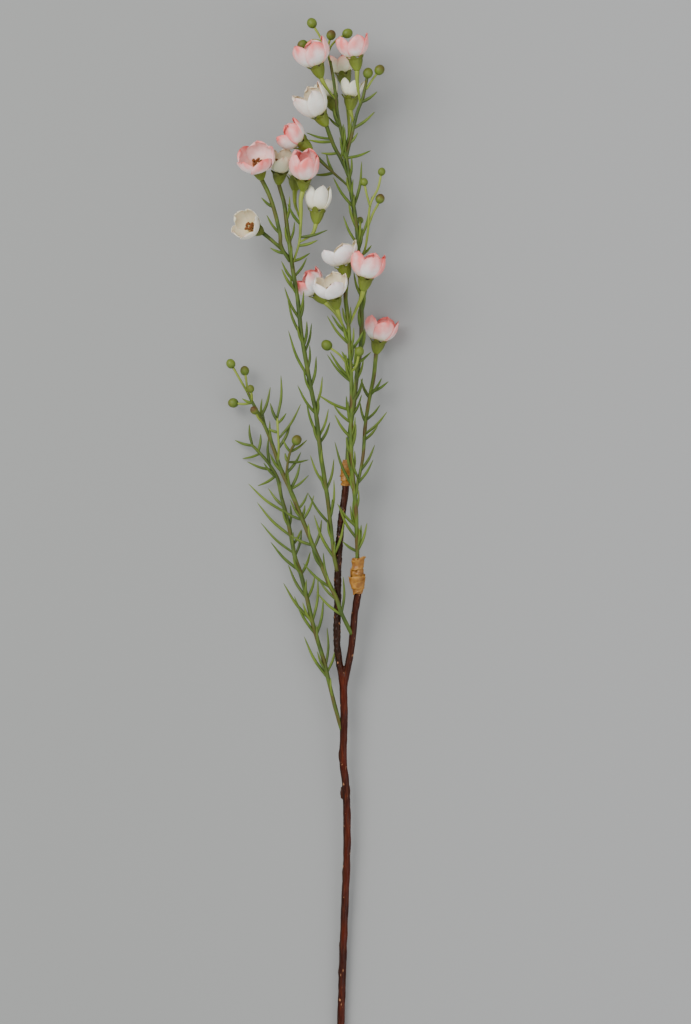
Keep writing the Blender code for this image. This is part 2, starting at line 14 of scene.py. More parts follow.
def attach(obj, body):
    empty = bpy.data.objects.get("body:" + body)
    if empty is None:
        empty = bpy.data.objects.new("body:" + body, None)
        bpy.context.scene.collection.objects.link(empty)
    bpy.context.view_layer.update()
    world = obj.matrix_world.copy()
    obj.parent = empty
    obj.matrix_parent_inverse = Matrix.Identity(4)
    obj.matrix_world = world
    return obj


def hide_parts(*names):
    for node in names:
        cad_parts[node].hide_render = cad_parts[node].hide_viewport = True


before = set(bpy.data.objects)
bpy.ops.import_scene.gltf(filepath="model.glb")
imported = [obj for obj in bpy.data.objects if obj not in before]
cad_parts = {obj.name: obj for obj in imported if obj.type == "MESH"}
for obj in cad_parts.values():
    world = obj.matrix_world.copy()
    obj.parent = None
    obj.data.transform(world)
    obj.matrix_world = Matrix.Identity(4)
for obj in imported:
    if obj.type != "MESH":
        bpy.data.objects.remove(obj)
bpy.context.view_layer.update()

MM = 0.001
SEED = 11
LOOKUP_STEP = 2.0

# The sprays and their leaves, as in the model.
STEM_RADIUS = 2.6
FORK_RADIUS = 2.4
SPRAY_RADIUS = 1.7
TIP_RADIUS = 1.1
TWIG_RADIUS = 1.0
STALK_RADIUS = 0.8
BLOOM_RADIUS = 1.6
STEM_TAPER = (0.85, 1.0, 0.95)
NEEDLE_RADIUS = 1.0
NEEDLE_BOW = 0.05
LOWEST_TIP = 0.6
CLOSE_STEP = 16.0
CLOSE_LENGTH = (12, 17)
CLOSE_TURN = (6, 15)
CLOSE_RISE = (2.5, 4.5)
CLOSE_LOOK = 6.0
PETALS = 5
CALYX_HEIGHT = 8.0
CALYX_RADIUS = 4.2
CALYX_FOOT = 1.7
CALYX_SINK = 0.6
CUP_HOLE = 0.9
BUD_LENGTH = 1.1
BUD_SEAT = 0.4

# The finer forms of the looks.
STEM_STEP = 1.5
STEM_SLIM = 0.88
STEM_RIPPLE = 0.14
NEEDLE_POINTS = 14
NEEDLE_SIDES = 10
NEEDLE_FLAT = 0.85
NEEDLE_WIDTHS = (0.86, 1.06)
NEEDLE_CHANNEL = 0.16
BUD_RINGS = 14
BUD_SIDES = 20
CUP_SIDES = 40
CUP_LIP = 0.3
CUP_RIBS = 10
CUP_RIB = 0.04
SEPAL_ROWS = 8
SEPAL_COLUMNS = 7
SEPAL_THICK = 0.28
SEPAL_HALF = 2.4
SEPAL_LENGTHS = (2.6, 4.2)
SEPAL_LEANS = (1.6, 2.8)
PETAL_ROWS = 20
PETAL_COLUMNS = 17
PETAL_THICK = 0.15
PETAL_WIDTH = 0.76
PETAL_START = 0.10
PETAL_SHOULDER = 0.62
PETAL_NECK = 0.30
PETAL_SEAT = 0.5
STAMENS = 12
STAMEN_RADIUS = 0.22
STAMEN_REACHES = (0.9, 3.3)
STAMEN_HEIGHTS = (0.38, 0.58)
# Turned shapes, from foot to top: radius, height and tone.
DISC = [
    (1.7, 0.45, (0.7, 0, 0)), (2.1, 0.7, (0.6, 0, 0)), (2.2, 1.1, (0.3, 0, 0)),
    (1.9, 1.5, (0.1, 0, 0)), (1.2, 1.35, (0.1, 0.45, 0)), (0.2, 1.2, (0.1, 0.6, 0)),
]
ANTHER = [
    (0.2, -0.9, (0, 0, 0)), (0.85, -0.3, (0, 0.2, 0)), (0.85, 0.4, (0, 0.3, 0)),
    (0.2, 0.9, (0, 0.5, 0)),
]
STYLE = [(0, 0, 1.2), (0.2, 0.1, 3.0), (0.1, 0.3, 4.4)]
STYLE_RADII = (0.3, 0.22, 0.3)

# The bark's skin: the size of its cells, its knots, and how high its grain, lumps and teeth stand.
SKIN_CELL = 0.5
SKIN_INSET = 0.1
SKIN_SIDES = 24
KNOT_HALF = 4
KNOT_RADIUS = 0.75
GRAIN_HIGH = 0.22
LUMP_HIGH = 0.28
TEETH_HIGH = 0.45
# Where the stem forks, and what lies left of the line between the forks.
FORK_START = -84
LEFT_OF = (22, 18)

# The tape: how often it laps round, how deep its folds are, and the grid of a loose strip.
WRAP_STEP = 0.35
WRAP_SIDES = 72
WRAP_LAPS = 3.4
WRAP_CREASE = 0.26
WRAP_CRINKLE = 0.07
STRIP_ROWS = 60
STRIP_COLUMNS = 11
STRIP_THICK = 0.10
STRIP_LIFTS = 0.72

# Colours, as linear red, green and blue.
BARK_RED = (0.070, 0.0075, 0.0006)
BARK_DEEP = (0.030, 0.0035, 0.0005)
BARK_FORK = (0.019, 0.0062, 0.0018)
# Painted highlight, in light streaks along the bark's grain.
BARK_GRAIN_HIGHLIGHT = (0.17, 0.032, 0.004)
BARK_SHADE = (0.012, 0.004, 0.001)
BARK_FLECK = (0.32, 0.15, 0.07)
BARK_KNOT = (0.045, 0.015, 0.005)
TAPE_DEEP = (0.225, 0.085, 0.004)
TAPE_OCHRE = (0.34, 0.148, 0.010)
# Painted shade in the tape's folds and creases.
TAPE_CREASE_SHADE = (0.17, 0.055, 0.005)
# Painted highlight on the tape's thin edges.
TAPE_EDGE_HIGHLIGHT = (0.43, 0.205, 0.022)
LEAF_GREEN = (0.118, 0.185, 0.012)
LEAF_DEEP = (0.070, 0.122, 0.007)
LEAF_LIGHT = (0.36, 0.43, 0.055)
LEAF_DARK = (0.022, 0.040, 0.006)
LEAF_BROWN = (0.090, 0.032, 0.006)
PETAL_WHITE = (0.93, 0.89, 0.85)
# Painted shade, laid in patches over the white petals.
PETAL_PAINTED_SHADE = (0.84, 0.78, 0.73)
PETAL_CLEAR = (0.74, 0.73, 0.50)
PETAL_FOOT = (0.62, 0.60, 0.20)
PETAL_PINK = (0.95, 0.185, 0.165)
ANTHER_ORANGE = (0.34, 0.105, 0.008)
ANTHER_BROWN = (0.19, 0.055, 0.005)
CENTRE_CREAM = (0.56, 0.44, 0.16)
CENTRE_DARK = (0.09, 0.030, 0.006)
# The floor's painted light falloff: shaded on the left, lighter on the right.
FLOOR_SHADED_LEFT = (0.312, 0.314, 0.302)
FLOOR_LIT_RIGHT = (0.356, 0.356, 0.350)
SKY = (0.95, 0.97, 1.0, 1)
SKY_STRENGTH = 0.86
FLOOR_SIDE = 6.0

# The two lamps, in metres and watts: where each stands, how wide it is and its power.
LAMPS = {"key": ((-1.6, 1.2, 2.4), 2.2, 78), "fill": ((1.8, -0.6, 2.0), 2.0, 14)}

# The camera looks straight down on the photograph's middle, with its long side along the stem.
VIEW_MIDDLE = (21.5, 29.5)
VIEW_LENGTH = 665.6
VIEW_LEVEL = 25.0
CAMERA_HEIGHT = 3000.0
CAMERA_NEAR = 0.01
CAMERA_FAR = 50
SENSOR = 36.0

MAIN_STEM = [
    (18, -350, 2.2), (18.5, -338, 2.7), (18.5, -303, 4), (20.5, -242, 6), (22.5, -190, 8),
    (22, -154, 9.5), (20, -132, 10.5), (20.5, -105, 12), (20, -78, 13.5),
]
LEFT_FORK = [
    (20, -84, 13.2), (16.5, -62, 15), (16, -47, 16), (16.5, -28, 17.5), (16.5, -8, 19),
    (18.5, 21, 21), (21, 40, 22), (22, 53, 22),
]
RIGHT_FORK = [
    (20, -86, 13), (22.5, -74, 14), (25.5, -57, 16), (27.5, -37, 18.5), (29.5, -24, 20.5),
    (29.5, -15, 21.5),
]
NODE_BUMPS = [
    (17.5, -129.5, 10.5), (18.7, -154, 9.5), (20, -206, 7.3), (18, -254, 5.5),
    (17.2, -272, 5), (24.2, -153, 10),
]

TALL = {
    "main": [
        (22, 54, 22), (23.5, 76, 21), (27, 99, 20), (28.5, 115, 20.5), (31.5, 138, 22),
        (32, 157, 23.5), (31.5, 177, 24), (30, 195, 25), (29, 213, 27), (25.5, 235, 29),
        (23, 253, 30), (20, 271, 31), (16.5, 287, 32), (14, 308, 33), (11.5, 322, 33),
    ],
    "left": [(23.5, 248, 29.5), (18.5, 258.5, 31), (13.5, 268, 33), (9, 280, 36)],
    "twig": [(24.5, 240, 29), (20, 244, 29), (12, 251, 31), (5, 257.5, 33), (-1, 264, 33)],
    "right": [
        (22, 258, 30), (23, 263.5, 31), (26.5, 278, 33), (29.5, 289.5, 34), (33, 298.5, 36),
        (35.5, 311, 38),
    ],
    "second": [(31, 294, 35), (30, 300.5, 38), (29, 308, 40), (29, 315.5, 41)],
    "third": [
        (22, 259.5, 29), (23.5, 272, 25), (23.5, 285, 19), (22.5, 298, 12), (21.5, 308, 8.25),
    ],
    "sixth": [(27, 280.5, 33), (26, 285.5, 29), (24.5, 291, 26)],
    "first": [(15.5, 296.5, 32.5), (12, 300.5, 34.5), (8, 306, 37), (5.5, 311, 38)],
    "fifth": [(17, 285.5, 32), (16, 288.5, 27), (14.5, 291, 24)],
    "bud_1": [(12.5, 317, 33), (9.5, 328.5, 27), (6, 336.5, 25), (1, 345, 25)],
    "bud_2": [(9, 330.5, 26.5), (6, 335, 24), (1, 336.5, 23), (-4, 334.5, 22)],
    "bud_3": [(9.5, 327, 28), (10, 331, 30), (11.5, 336.5, 31)],
    "bud_4": [(10, 327.5, 27.5), (12.5, 333, 24), (17, 337.5, 23), (20.5, 339.5, 23)],
    "bud_6": [(35, 303, 37), (38, 308, 37), (42, 313.5, 38)],
    "bud_8": [
        (30, 192, 25), (34, 200, 28), (36, 211.5, 30), (37.5, 228.5, 32), (42.5, 239, 34),
        (44.5, 248, 35),
    ],
    "bud_7": [(37.5, 227, 32), (35.5, 234.5, 32), (34, 241.5, 32)],
    "bud_9": [(36.5, 215.5, 30.5), (39.5, 223.5, 31), (42, 228, 31), (43, 230.5, 31)],
    "bud_11": [(28.5, 213, 27), (31, 215.5, 24), (31, 218, 22)],
}
TALL_LEAVES = {
    "main": [
        (228, 13.5, 246.5), (227, 32, 257), (203, 38.5, 234.5), (202.5, 20, 222),
        (259.5, 38, 264), (278, 10, 286.5, -3), (265, 25.5, 284.5, 3),
    ],
    "left": [(271.5, -4, 275.5), (269, -2.5, 270.5), (262, 5.5, 262.5), (258.5, 21, 279, 5)],
    "twig": [(250, 9, 262.5), (249.5, 1.5, 248.5)],
    "right": [(295, 42, 301.5), (279, 40.5, 289), (268, 29.5, 275.5)],
    "bud_8": [(194.5, 28.5, 202.5, -3), (196, 38.5, 203, -3)],
}
MIDDLE = {
    "main": [
        (29.5, -14.4, 21.6), (29, 8, 24.5), (28, 34, 28.5), (25.5, 60, 32), (25, 83, 34),
        (25.5, 105.5, 34.5), (24.5, 131.5, 35), (23, 154.5, 35), (21.5, 168.5, 34.5),
        (22.5, 181.5, 34),
    ],
    "nearest": [(23.5, 145.5, 35), (20.5, 149, 37), (18, 154.5, 39), (16, 161.5, 41)],
    "lowest": [(23.5, 143.5, 35), (19, 152, 32), (14, 160, 27), (8, 166, 23)],
    "pink": [(24, 150.5, 35), (28.5, 161, 38), (31.5, 167.5, 41), (33, 173, 43)],
    "bud_12": [(24.5, 122, 35), (18.5, 130.5, 34), (11.5, 136, 32)],
    "bud_13": [(25, 119.5, 35), (28.5, 124.5, 38), (30, 131, 40)],
    "side": [
        (27.5, 42, 29.5), (30, 50.5, 30), (33, 66.5, 28), (34, 81.5, 25), (35.5, 94.5, 20.5),
        (37.5, 105.5, 16), (40, 118.5, 11.5), (41.5, 133.5, 8.95),
    ],
}
MIDDLE_LEAVES = {
    "main": [
        (20, 16, 35, 9), (12.5, 17, 33.5, 10), (4, 35.5, 22.5), (4, 19.5, 10.5), (45, 14.5, 75),
        (95, 3.5, 105.5), (87, 13.5, 99), (76.5, 14.5, 92.5), (138, 9.5, 156.5),
        (144.5, 12.5, 157), (113.5, 9.5, 131.5), (116, 11.5, 133), (133.5, 33, 146.5),
        (126, 19, 133.5), (123, 38, 133),
    ],
    "side": [
        (89.5, 44, 99), (79, 48.5, 94.5), (76.5, 42.5, 85.5), (108, 49.5, 114.5),
        (105, 45, 116.5), (103.5, 31.5, 116.5, -6), (88, 31, 101, -6), (49, 39.5, 63.5),
        (57, 40.5, 73), (50.5, 25.5, 66.5, 7),
    ],
}
FLOWERING = {
    "main": [
        (16, -9, 20.5), (14, 1.5, 22.5), (12, 19, 24), (10, 37.5, 26), (7.5, 53.5, 28),
        (5, 70, 30), (2.5, 92.5, 31.5), (-1, 110, 32.5), (-4, 127, 33.5), (-7, 144.5, 34),
        (-9.5, 167.5, 34), (-12.5, 185.5, 33), (-14.5, 200, 32), (-17, 219.5, 29.5),
        (-18.5, 230.5, 28), (-22, 243, 26),
    ],
    "facing": [
        (-14.5, 192, 32.5), (-20, 201, 35), (-21, 209.5, 36.5), (-24.5, 224.5, 37),
        (-28, 235, 37), (-33, 245.5, 36),
    ],
    "slit": [
        (-13.5, 188, 32.5), (-10, 198.5, 33), (-8, 207.5, 34), (-7.5, 221.5, 35.5),
        (-7.5, 231, 36.5), (-6, 238, 36.5),
    ],
    "white": [(-8, 204.5, 34), (-3.5, 207, 33), (0.5, 210.5, 32), (2.5, 217, 31.5)],
    "hidden": [(-7.5, 218.5, 35), (-9.5, 224, 28), (-11.5, 231, 16), (-11.5, 240, 7.75)],
    "side": [(-15, 194.5, 32), (-21, 201, 28), (-27, 206.5, 26), (-33, 211.5, 24)],
}
FLOWERING_LEAVES = {
    "main": [
        (203, -11.5, 218, -4), (181.5, -3.5, 194.5, -3), (191, -1.5, 197.5, -3),
        (178.5, -20, 192), (172, -20, 187), (154.5, -18, 175), (157.5, -5.5, 172.5, 5),
        (141.5, -16, 167.5), (136, -3.5, 153), (133, -0.5, 152, -3), (116.5, -15.5, 147),
        (110, 2.5, 130.5, -4), (92.5, -9.5, 111.5), (78.5, -4, 101.5), (96, 6.5, 117.5, -5),
        (77.5, 10.5, 96.5, -4), (73, 11.5, 88, -5), (45, -1.5, 66.5), (44, 14, 64, -3),
        (24.5, 14, 50.5, 3), (21, -3, 42), (-1.5, 1, 27.5), (1.5, 20.5, 23.5, 3.5),
    ],
    "facing": [(226, -33, 233), (209.5, -29.5, 221.5), (201, -27.5, 207)],
    "slit": [(206.5, 10, 212, 5), (202.5, 3.5, 205.5, 3), (216, -16, 229, 4)],
    "side": [(197.5, -27.5, 201, -2)],
}
LOW_LEFT = {
    "main": [
        (19, -113, 12), (15.5, -100.5, 12.5), (11.5, -85, 12.5), (8, -70, 12.5),
        (3.5, -55, 12), (-0.5, -40.5, 12), (-3.5, -27.5, 11.5), (-7.5, -11.5, 11),
        (-11.5, 0.5, 10.5), (-14, 13.5, 10), (-17, 27, 10), (-20.5, 40, 9.5),
        (-23, 51.5, 9), (-29, 61.5, 8.5), (-35.5, 69, 8), (-40.5, 74, 8),
    ],
}
LOW_LEFT_LEAVES = {
    "main": [
        (-78.5, -5.5, -52), (-71, 9.5, -46), (-76.5, 15.5, -57.5, -5), (-51.5, -12, -25.5),
        (-42, -19, -17), (-51.5, 7, -27.5), (-42, 3.5, -13.5), (-28.5, 1.5, -12),
        (-27.5, -16, -5), (-10, -27.5, 10), (-11.5, -1.5, 3.5), (-0.5, -7, 18),
        (3, -34, 22.5), (13.5, -36.5, 36), (8, -7.5, 18), (29.5, -42, 48), (33, -29, 45),
        (20, -14.5, 34), (59.5, -29, 78.5), (64, -30.5, 62.5), (73, -41.5, 87),
        (72.5, -51, 76.5), (68.5, -34, 80.5), (68, -46, 64.5, -8), (57.5, -43, 62.5),
        (53.5, -36, 46.5),
    ],
}
HIGH_LEFT = {
    "main": [
        (25.5, -50, 18), (19, -36.5, 22.5), (15.5, -26.5, 23), (10.5, -16.5, 22),
        (5, -3.5, 20.5), (-0.5, 9.5, 19), (-5.5, 22, 18), (-10, 33, 17.5), (-14.5, 44, 17),
        (-20.5, 57, 16.5), (-25, 70, 16), (-30, 83, 16), (-36.5, 96, 16), (-40.5, 103.5, 16),
        (-42.5, 108, 16),
    ],
    "shoot": [(-22.5, 62.5, 16.5), (-22, 71, 19), (-22.5, 83, 20.5), (-23, 90.5, 21)],
    "twig": [(-17.5, 50.5, 17), (-16, 62, 19), (-14.5, 68.5, 20.5), (-11.5, 74, 22)],
    "bud_14": [(-42.5, 107.5, 16), (-47, 115.5, 18), (-52, 124, 19)],
    "bud_15": [(-42, 106.5, 16), (-43, 113, 13), (-44, 119.5, 11)],
    "bud_16": [(-39.5, 101, 16), (-39.5, 105, 20), (-40, 108, 22)],
    "bud_17": [(-39.5, 100.5, 16), (-45, 100, 13), (-49.5, 100.5, 11)],
    "bud_18": [(-32, 87, 16), (-35, 90.5, 20), (-37, 94, 22)],
}
HIGH_LEFT_LEAVES = {
    "main": [
        (90.5, -27.5, 111), (81.5, -32, 93.5), (32, -3, 42), (24.5, 1, 40.5), (26.5, -5, 34),
        (24.5, -21, 32), (5.5, 6, 24.5), (7, -14.5, 14.5), (-20, -6, -4), (-27.5, 3, -12.5),
        (-18, 7, 3), (-35.5, 20, -12.5, 2), (-38.5, 2.5, -22.5), (44, -2.5, 53.5),
        (88, -33, 103.5), (100, -46, 103.5), (44, -8, 61.5),
    ],
    "shoot": [
        (90, -20.5, 118.5), (89.5, -27.5, 100.5), (87, -17, 94), (80.5, -29, 84),
        (76.5, -7.5, 100), (71, -14, 88),
    ],
    "twig": [
        (68, -3.5, 76.5), (68, -19, 76.5), (62, -2.5, 63.5), (62, -18, 68), (54.5, -7.5, 68.5),
    ],
}
# Each spray: its stems, leaves and buds' sizes, and the least and most that its leaf tips rise.
SPRAYS = {
    "spray_tall": (
        TALL,
        TALL_LEAVES,
        {"bud_1": 6.5, "bud_2": 6.5, "bud_3": 6.2, "bud_4": 6.5, "right": 6.5, "bud_6": 6.5,
         "bud_7": 5, "bud_8": 5, "bud_9": 6, "bud_11": 4.5},
        (-4, 4),
    ),
    "spray_middle": (MIDDLE, MIDDLE_LEAVES, {"bud_12": 7, "bud_13": 6}, (2, 6)),
    "spray_flowering": (FLOWERING, FLOWERING_LEAVES, {}, (1, 5)),
    "spray_low_left": (LOW_LEFT, LOW_LEFT_LEAVES, {}, (-7, 0)),
    "spray_high_left": (
        HIGH_LEFT,
        HIGH_LEFT_LEAVES,
        {"bud_14": 6, "bud_15": 6, "bud_16": 5, "bud_17": 6.5, "bud_18": 5.2, "twig": 6.5},
        (-3, 0),
    ),
}
# Each flower: the spray and stem that end in it, where it faces, its width and how deep it cups.
FLOWERS = {
    "flower_1": ("spray_tall", "first", (-0.33, 0.92, 0.2), 23, 17),
    "flower_2": ("spray_tall", "second", (-0.15, 0.97, 0.12), 20, 15),
    "flower_3": ("spray_tall", "third", (-0.15, 0.98, 0), 16, 13),
    "flower_4": ("spray_tall", "left", (-0.5, 0.8, 0.25), 21, 19),
    "flower_5": ("spray_tall", "fifth", (-0.35, 0.92, 0), 15, 12),
    "flower_6": ("spray_tall", "sixth", (0.1, 0.99, 0), 14, 12),
    "flower_7": ("spray_flowering", "facing", (-0.2, 0.74, 0.64), 24, 14),
    "flower_8": ("spray_tall", "twig", (-0.78, 0.6, 0.1), 19, 15),
    "flower_9": ("spray_flowering", "slit", (0.05, 0.88, 0.45), 19, 18),
    "flower_10": ("spray_flowering", "main", (0.1, 0.9, 0.42), 17, 14),
    "flower_11": ("spray_flowering", "hidden", (0.05, 0.99, 0), 15, 17),
    "flower_12": ("spray_flowering", "white", (0.08, 0.97, 0), 17, 16),
    "flower_13": ("spray_flowering", "side", (-0.62, 0.25, 0.74), 19, 12),
    "flower_14": ("spray_middle", "main", (-0.27, 0.95, 0.05), 23, 14),
    "flower_15": ("spray_middle", "lowest", (-0.6, 0.78, 0.08), 19.5, 15),
    "flower_16": ("spray_middle", "nearest", (-0.25, 0.88, 0.42), 22, 14),
    "flower_17": ("spray_middle", "pink", (0.18, 0.95, 0.2), 21.5, 17),
    "flower_18": ("spray_middle", "side", (0.2, 0.95, 0.1), 21, 16),
}
THIN_STEMS = {"main": SPRAY_RADIUS, "side": 1.3, "right": 1.3, "left": 1.3, "facing": 1.5}
# The stretch of each main stem that also has leaves lying close over it.
CLOSE_LEAVES = {
    "spray_tall": (70, 285), "spray_middle": (6, 160), "spray_flowering": (-6, 225),
    "spray_low_left": (-92, 60), "spray_high_left": (-24, 88),
}
# The flowers in the same order: how pink each is, how translucent, and how far its petals turn in,
# where 90 degrees stands upright.
FLOWER_LOOKS = [
    (0.72, 0.0, 126), (0.95, 0.0, 116), (0.50, 0.9, 112), (0.22, 0.3, 112), (0.05, 0.8, 112),
    (0.05, 0.7, 112), (0.62, 0.0, 120), (0.75, 0.0, 122), (0.98, 0.0, 132), (0.15, 1.0, 98),
    (0.10, 0.3, 108), (0.06, 0.5, 130), (0.15, 0.5, 106), (0.15, 0.0, 108), (0.75, 0.0, 120),
    (0.15, 0.0, 112), (0.92, 0.0, 122), (0.82, 0.0, 116),
]
# The sprays whose main stem is set thick with fine leaves, and how far apart these are.
FINE_STEPS = {"spray_tall": 11.0, "spray_middle": 12.0}
# Each spray's stems: how dark, and how brown in patches.
STEM_SHADES = {
    "spray_tall": (0.50, 0.55), "spray_middle": (0.15, 0.75), "spray_flowering": (0.40, 0.45),
    "spray_low_left": (0.40, 0.55), "spray_high_left": (0.35, 0.60),
}
# How far each bud's top has turned red-brown, and the least that any has.
BUD_BLUSH = {
    "spray_tall": {
        "bud_2": 0.7, "bud_3": 0.85, "right": 0.3, "bud_6": 0.6, "bud_9": 0.8, "bud_11": 0.7,
    },
    "spray_high_left": {
        "bud_15": 0.6, "bud_18": 0.9, "bud_17": 0.35, "twig": 0.6, "bud_16": 0.3,
    },
    "spray_middle": {"bud_12": 0.2},
}
LEAST_BLUSH = 0.12
# Each wrap: its route, its radius, its widths from foot to top as parts of that, and its loose
# strips: where each starts along and round, its turns, its climb, its half width and its lift.
WRAPS = {
    "upper": (
        [(21.4, 46.5, 22), (22, 54, 22), (22.3, 63.5, 22)],
        3.5,
        (0.80, 1.0, 0.9, 0.95, 0.8, 0.7),
        ((0.3, 0.5, 1.5, 0.3, 2.2, 0.8), (0.65, 2.0, 1.2, 0.15, 1.8, 0.6)),
    ),
    "lower": (
        [(29.5, -23.5, 20.6), (29.5, -14.5, 21.5), (29.3, -0.5, 23.1)],
        4.1,
        (0.75, 0.95, 1.12, 0.98, 0.76, 0.88),
        (
            (0.12, 0.5, 1.0, 0.45, 3.4, 0.6), (0.36, 4.2, -0.62, -0.04, 4.0, 1.5),
            (0.72, -0.9, 0.62, 0.20, 3.4, 1.1),
        ),
    ),
}


class Shape:
    """Points, faces and a tone at each point, gathered from many small surfaces."""

    def __init__(self):
        self.points = []
        self.faces = []
        self.tones = []
        self.count = 0

    def add(self, points, faces, tones):
        """Tones are three numbers for each point, or three for all of them."""
        points = np.asarray(points, float).reshape(-1, 3)
        tones = np.broadcast_to(np.asarray(tones, float), (len(points), 3))
        self.points.append(points)
        self.tones.append(tones)
        self.faces += [tuple(i + self.count for i in face) for face in faces]
        self.count += len(points)

    def make(self, name, material, slot, *nodes):
        """One piece of what was gathered, which rides the body and replaces these nodes."""
        mesh = bpy.data.meshes.new(name)
        points = np.concatenate(self.points) * MM
        mesh.from_pydata(points.tolist(), [], self.faces)
        set_tones(mesh, np.concatenate(self.tones))
        mesh.materials.append(material)
        mesh.shade_smooth()
        made = bpy.data.objects.new(name, mesh)
        bpy.context.scene.collection.objects.link(made)
        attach(made, "root")
        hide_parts(*nodes)
        return made


def set_tones(mesh, tones):
    """Writes three numbers at each point, which the materials read."""
    if "tone" in mesh.attributes:
        mesh.attributes.remove(mesh.attributes["tone"])
    colours = np.ones((len(tones), 4))
    colours[:, :3] = tones
    held = mesh.attributes.new("tone", "FLOAT_COLOR", "POINT")
    held.data.foreach_set("color", colours.ravel())


def along(points, step):
    """A smooth curve through the points, with a point about every step."""
    knots = [Vector(p) for p in points]
    padded = [2 * knots[0] - knots[1], *knots, 2 * knots[-1] - knots[-2]]
    found = [knots[0]]
    for a, b, c, d in zip(padded, padded[1:], padded[2:], padded[3:]):
        pieces = max(1, round((c - b).length / step))
        for i in range(1, pieces + 1):
            t = i / pieces
            found.append(
                0.5 * (2 * b + (c - a) * t + (2 * a - 5 * b + 4 * c - d) * t * t
                       + (3 * b - a - 3 * c + d) * t ** 3)
            )
    return found


def point_at(points, y):
    """The point of a route at this place along the stem."""
    return min(along(points, LOOKUP_STEP), key=lambda p: abs(p.y - y))


def smooth_step(low, high, value):
    """From 0 at low to 1 at high, with soft ends."""
    t = np.clip((value - low) / (high - low), 0, 1)
    return t * t * (3 - 2 * t)


def frames(points):
    """The direction and two turning-free side directions at each point of a curve."""
    ahead = [(b - a).normalized() for a, b in zip(points, points[1:])]
    inner = [(a + b).normalized() for a, b in zip(ahead, ahead[1:])]
    side = ahead[0].orthogonal().normalized()
    found = []
    for way in [ahead[0], *inner, ahead[-1]]:
        side = (side - way * side.dot(way)).normalized()
        found.append((way, side, way.cross(side)))
    return found


def ring_faces(rings, sides):
    """The faces of a tube of rings of points, closed at both ends."""
    faces = []
    for i in range(rings - 1):
        for k in range(sides):
            a, b = i * sides + k, i * sides + (k + 1) % sides
            faces.append((a, b, b + sides, a + sides))
    faces.append(tuple(range(sides))[::-1])
    faces.append(tuple((rings - 1) * sides + k for k in range(sides)))
    return faces


def sweep(points, radii, sides, flat=1.0, ripple=None):
    """A closed tube: its points, faces and how far along and round it each point is."""
    rings = []
    places = []
    for i, (point, (_, right, up)) in enumerate(zip(points, frames(points))):
        t = i / (len(points) - 1)
        for k in range(sides):
            turn = 2 * math.pi * k / sides
            radius = radii[i] * (ripple(t, turn) if ripple else 1)
            offset = right * math.cos(turn) * radius + up * math.sin(turn) * radius * flat
            rings.append(point + offset)
            places.append((t, k / sides))
    return rings, ring_faces(len(points), sides), np.array(places)


def turned(profile, sides, wave=None):
    """A closed turned shape from (radius, height, tone) rows, its first and last on the axis."""
    local, held = [], []
    for i, (radius, height, tone) in enumerate(profile):
        for k in range(sides):
            turn = 2 * math.pi * k / sides
            grow = wave(i, turn) if wave else 1
            local.append((math.cos(turn) * radius * grow, math.sin(turn) * radius * grow, height))
            held.append(tone)
    return local, ring_faces(len(profile), sides), held


def sheet_faces(rows, columns):
    """Faces of two grids of points, front then back, closed round their edge."""
    faces = []
    back = rows * columns
    for i in range(rows - 1):
        for k in range(columns - 1):
            a = i * columns + k
            b = a + columns
            faces.append((a, a + 1, b + 1, b))
            faces.append((back + a, back + b, back + b + 1, back + a + 1))
    rim = list(range(columns))
    rim += [i * columns + columns - 1 for i in range(1, rows)]
    rim += [(rows - 1) * columns + k for k in range(columns - 2, -1, -1)]
    rim += [i * columns for i in range(rows - 2, 0, -1)]
    for a, b in zip(rim, rim[1:] + rim[:1]):
        faces.append((a, back + a, back + b, b))
    return faces


def spread(values, count):
    """These values, evenly interpolated to this many."""
    return np.interp(np.linspace(0, 1, count), np.linspace(0, 1, len(values)), values)


def basis(facing):
    """Two side directions and the direction itself, for what faces this way."""
    turn = Vector(facing).to_track_quat("Z", "Y")
    return turn @ Vector((1, 0, 0)), turn @ Vector((0, 1, 0)), Vector(facing).normalized()


def placed(local, origin, axes):
    """Local points, as rows, turned to these axes about an origin."""
    return np.asarray(local, float) @ np.array(axes, float) + np.array(origin, float)


def node_tree(name):
    """A new material, its nodes and its shader."""
    material = bpy.data.materials.new(name)
    material.use_nodes = True
    tree = material.node_tree
    return material, tree, tree.nodes["Principled BSDF"]


def add_node(tree, kind, inputs=None, **settings):
    node = tree.nodes.new(kind)
    for key, value in settings.items():
        setattr(node, key, value)
    for key, value in (inputs or {}).items():
        if isinstance(value, bpy.types.NodeSocket):
            tree.links.new(value, node.inputs[key])
        else:
            node.inputs[key].default_value = value
    return node


def mix(tree, factor, first, second):
    """A colour mix of two colours or sockets by a socket."""
    node = add_node(tree, "ShaderNodeMix", data_type="RGBA", blend_type="MIX")
    tree.links.new(factor, node.inputs[0])
    for socket, value in ((node.inputs[6], first), (node.inputs[7], second)):
        if isinstance(value, bpy.types.NodeSocket):
            tree.links.new(value, socket)
        else:
            socket.default_value = (*value, 1)
    return node.outputs[2]


def coated(tree, colour, *coats):
    """A colour with other colours laid over it in turn, each by its own socket."""
    for amount, coat in coats:
        colour = mix(tree, amount, colour, coat)
    return colour


def ramp(tree, source, low, high, to_low=0.0, to_high=1.0):
    """A soft step of a socket, from one value at low to another at high."""
    node = add_node(
        tree,
        "ShaderNodeMapRange",
        {"Value": source, "From Min": low, "From Max": high, "To Min": to_low, "To Max": to_high},
        interpolation_type="SMOOTHSTEP",
    )
    return node.outputs["Result"]


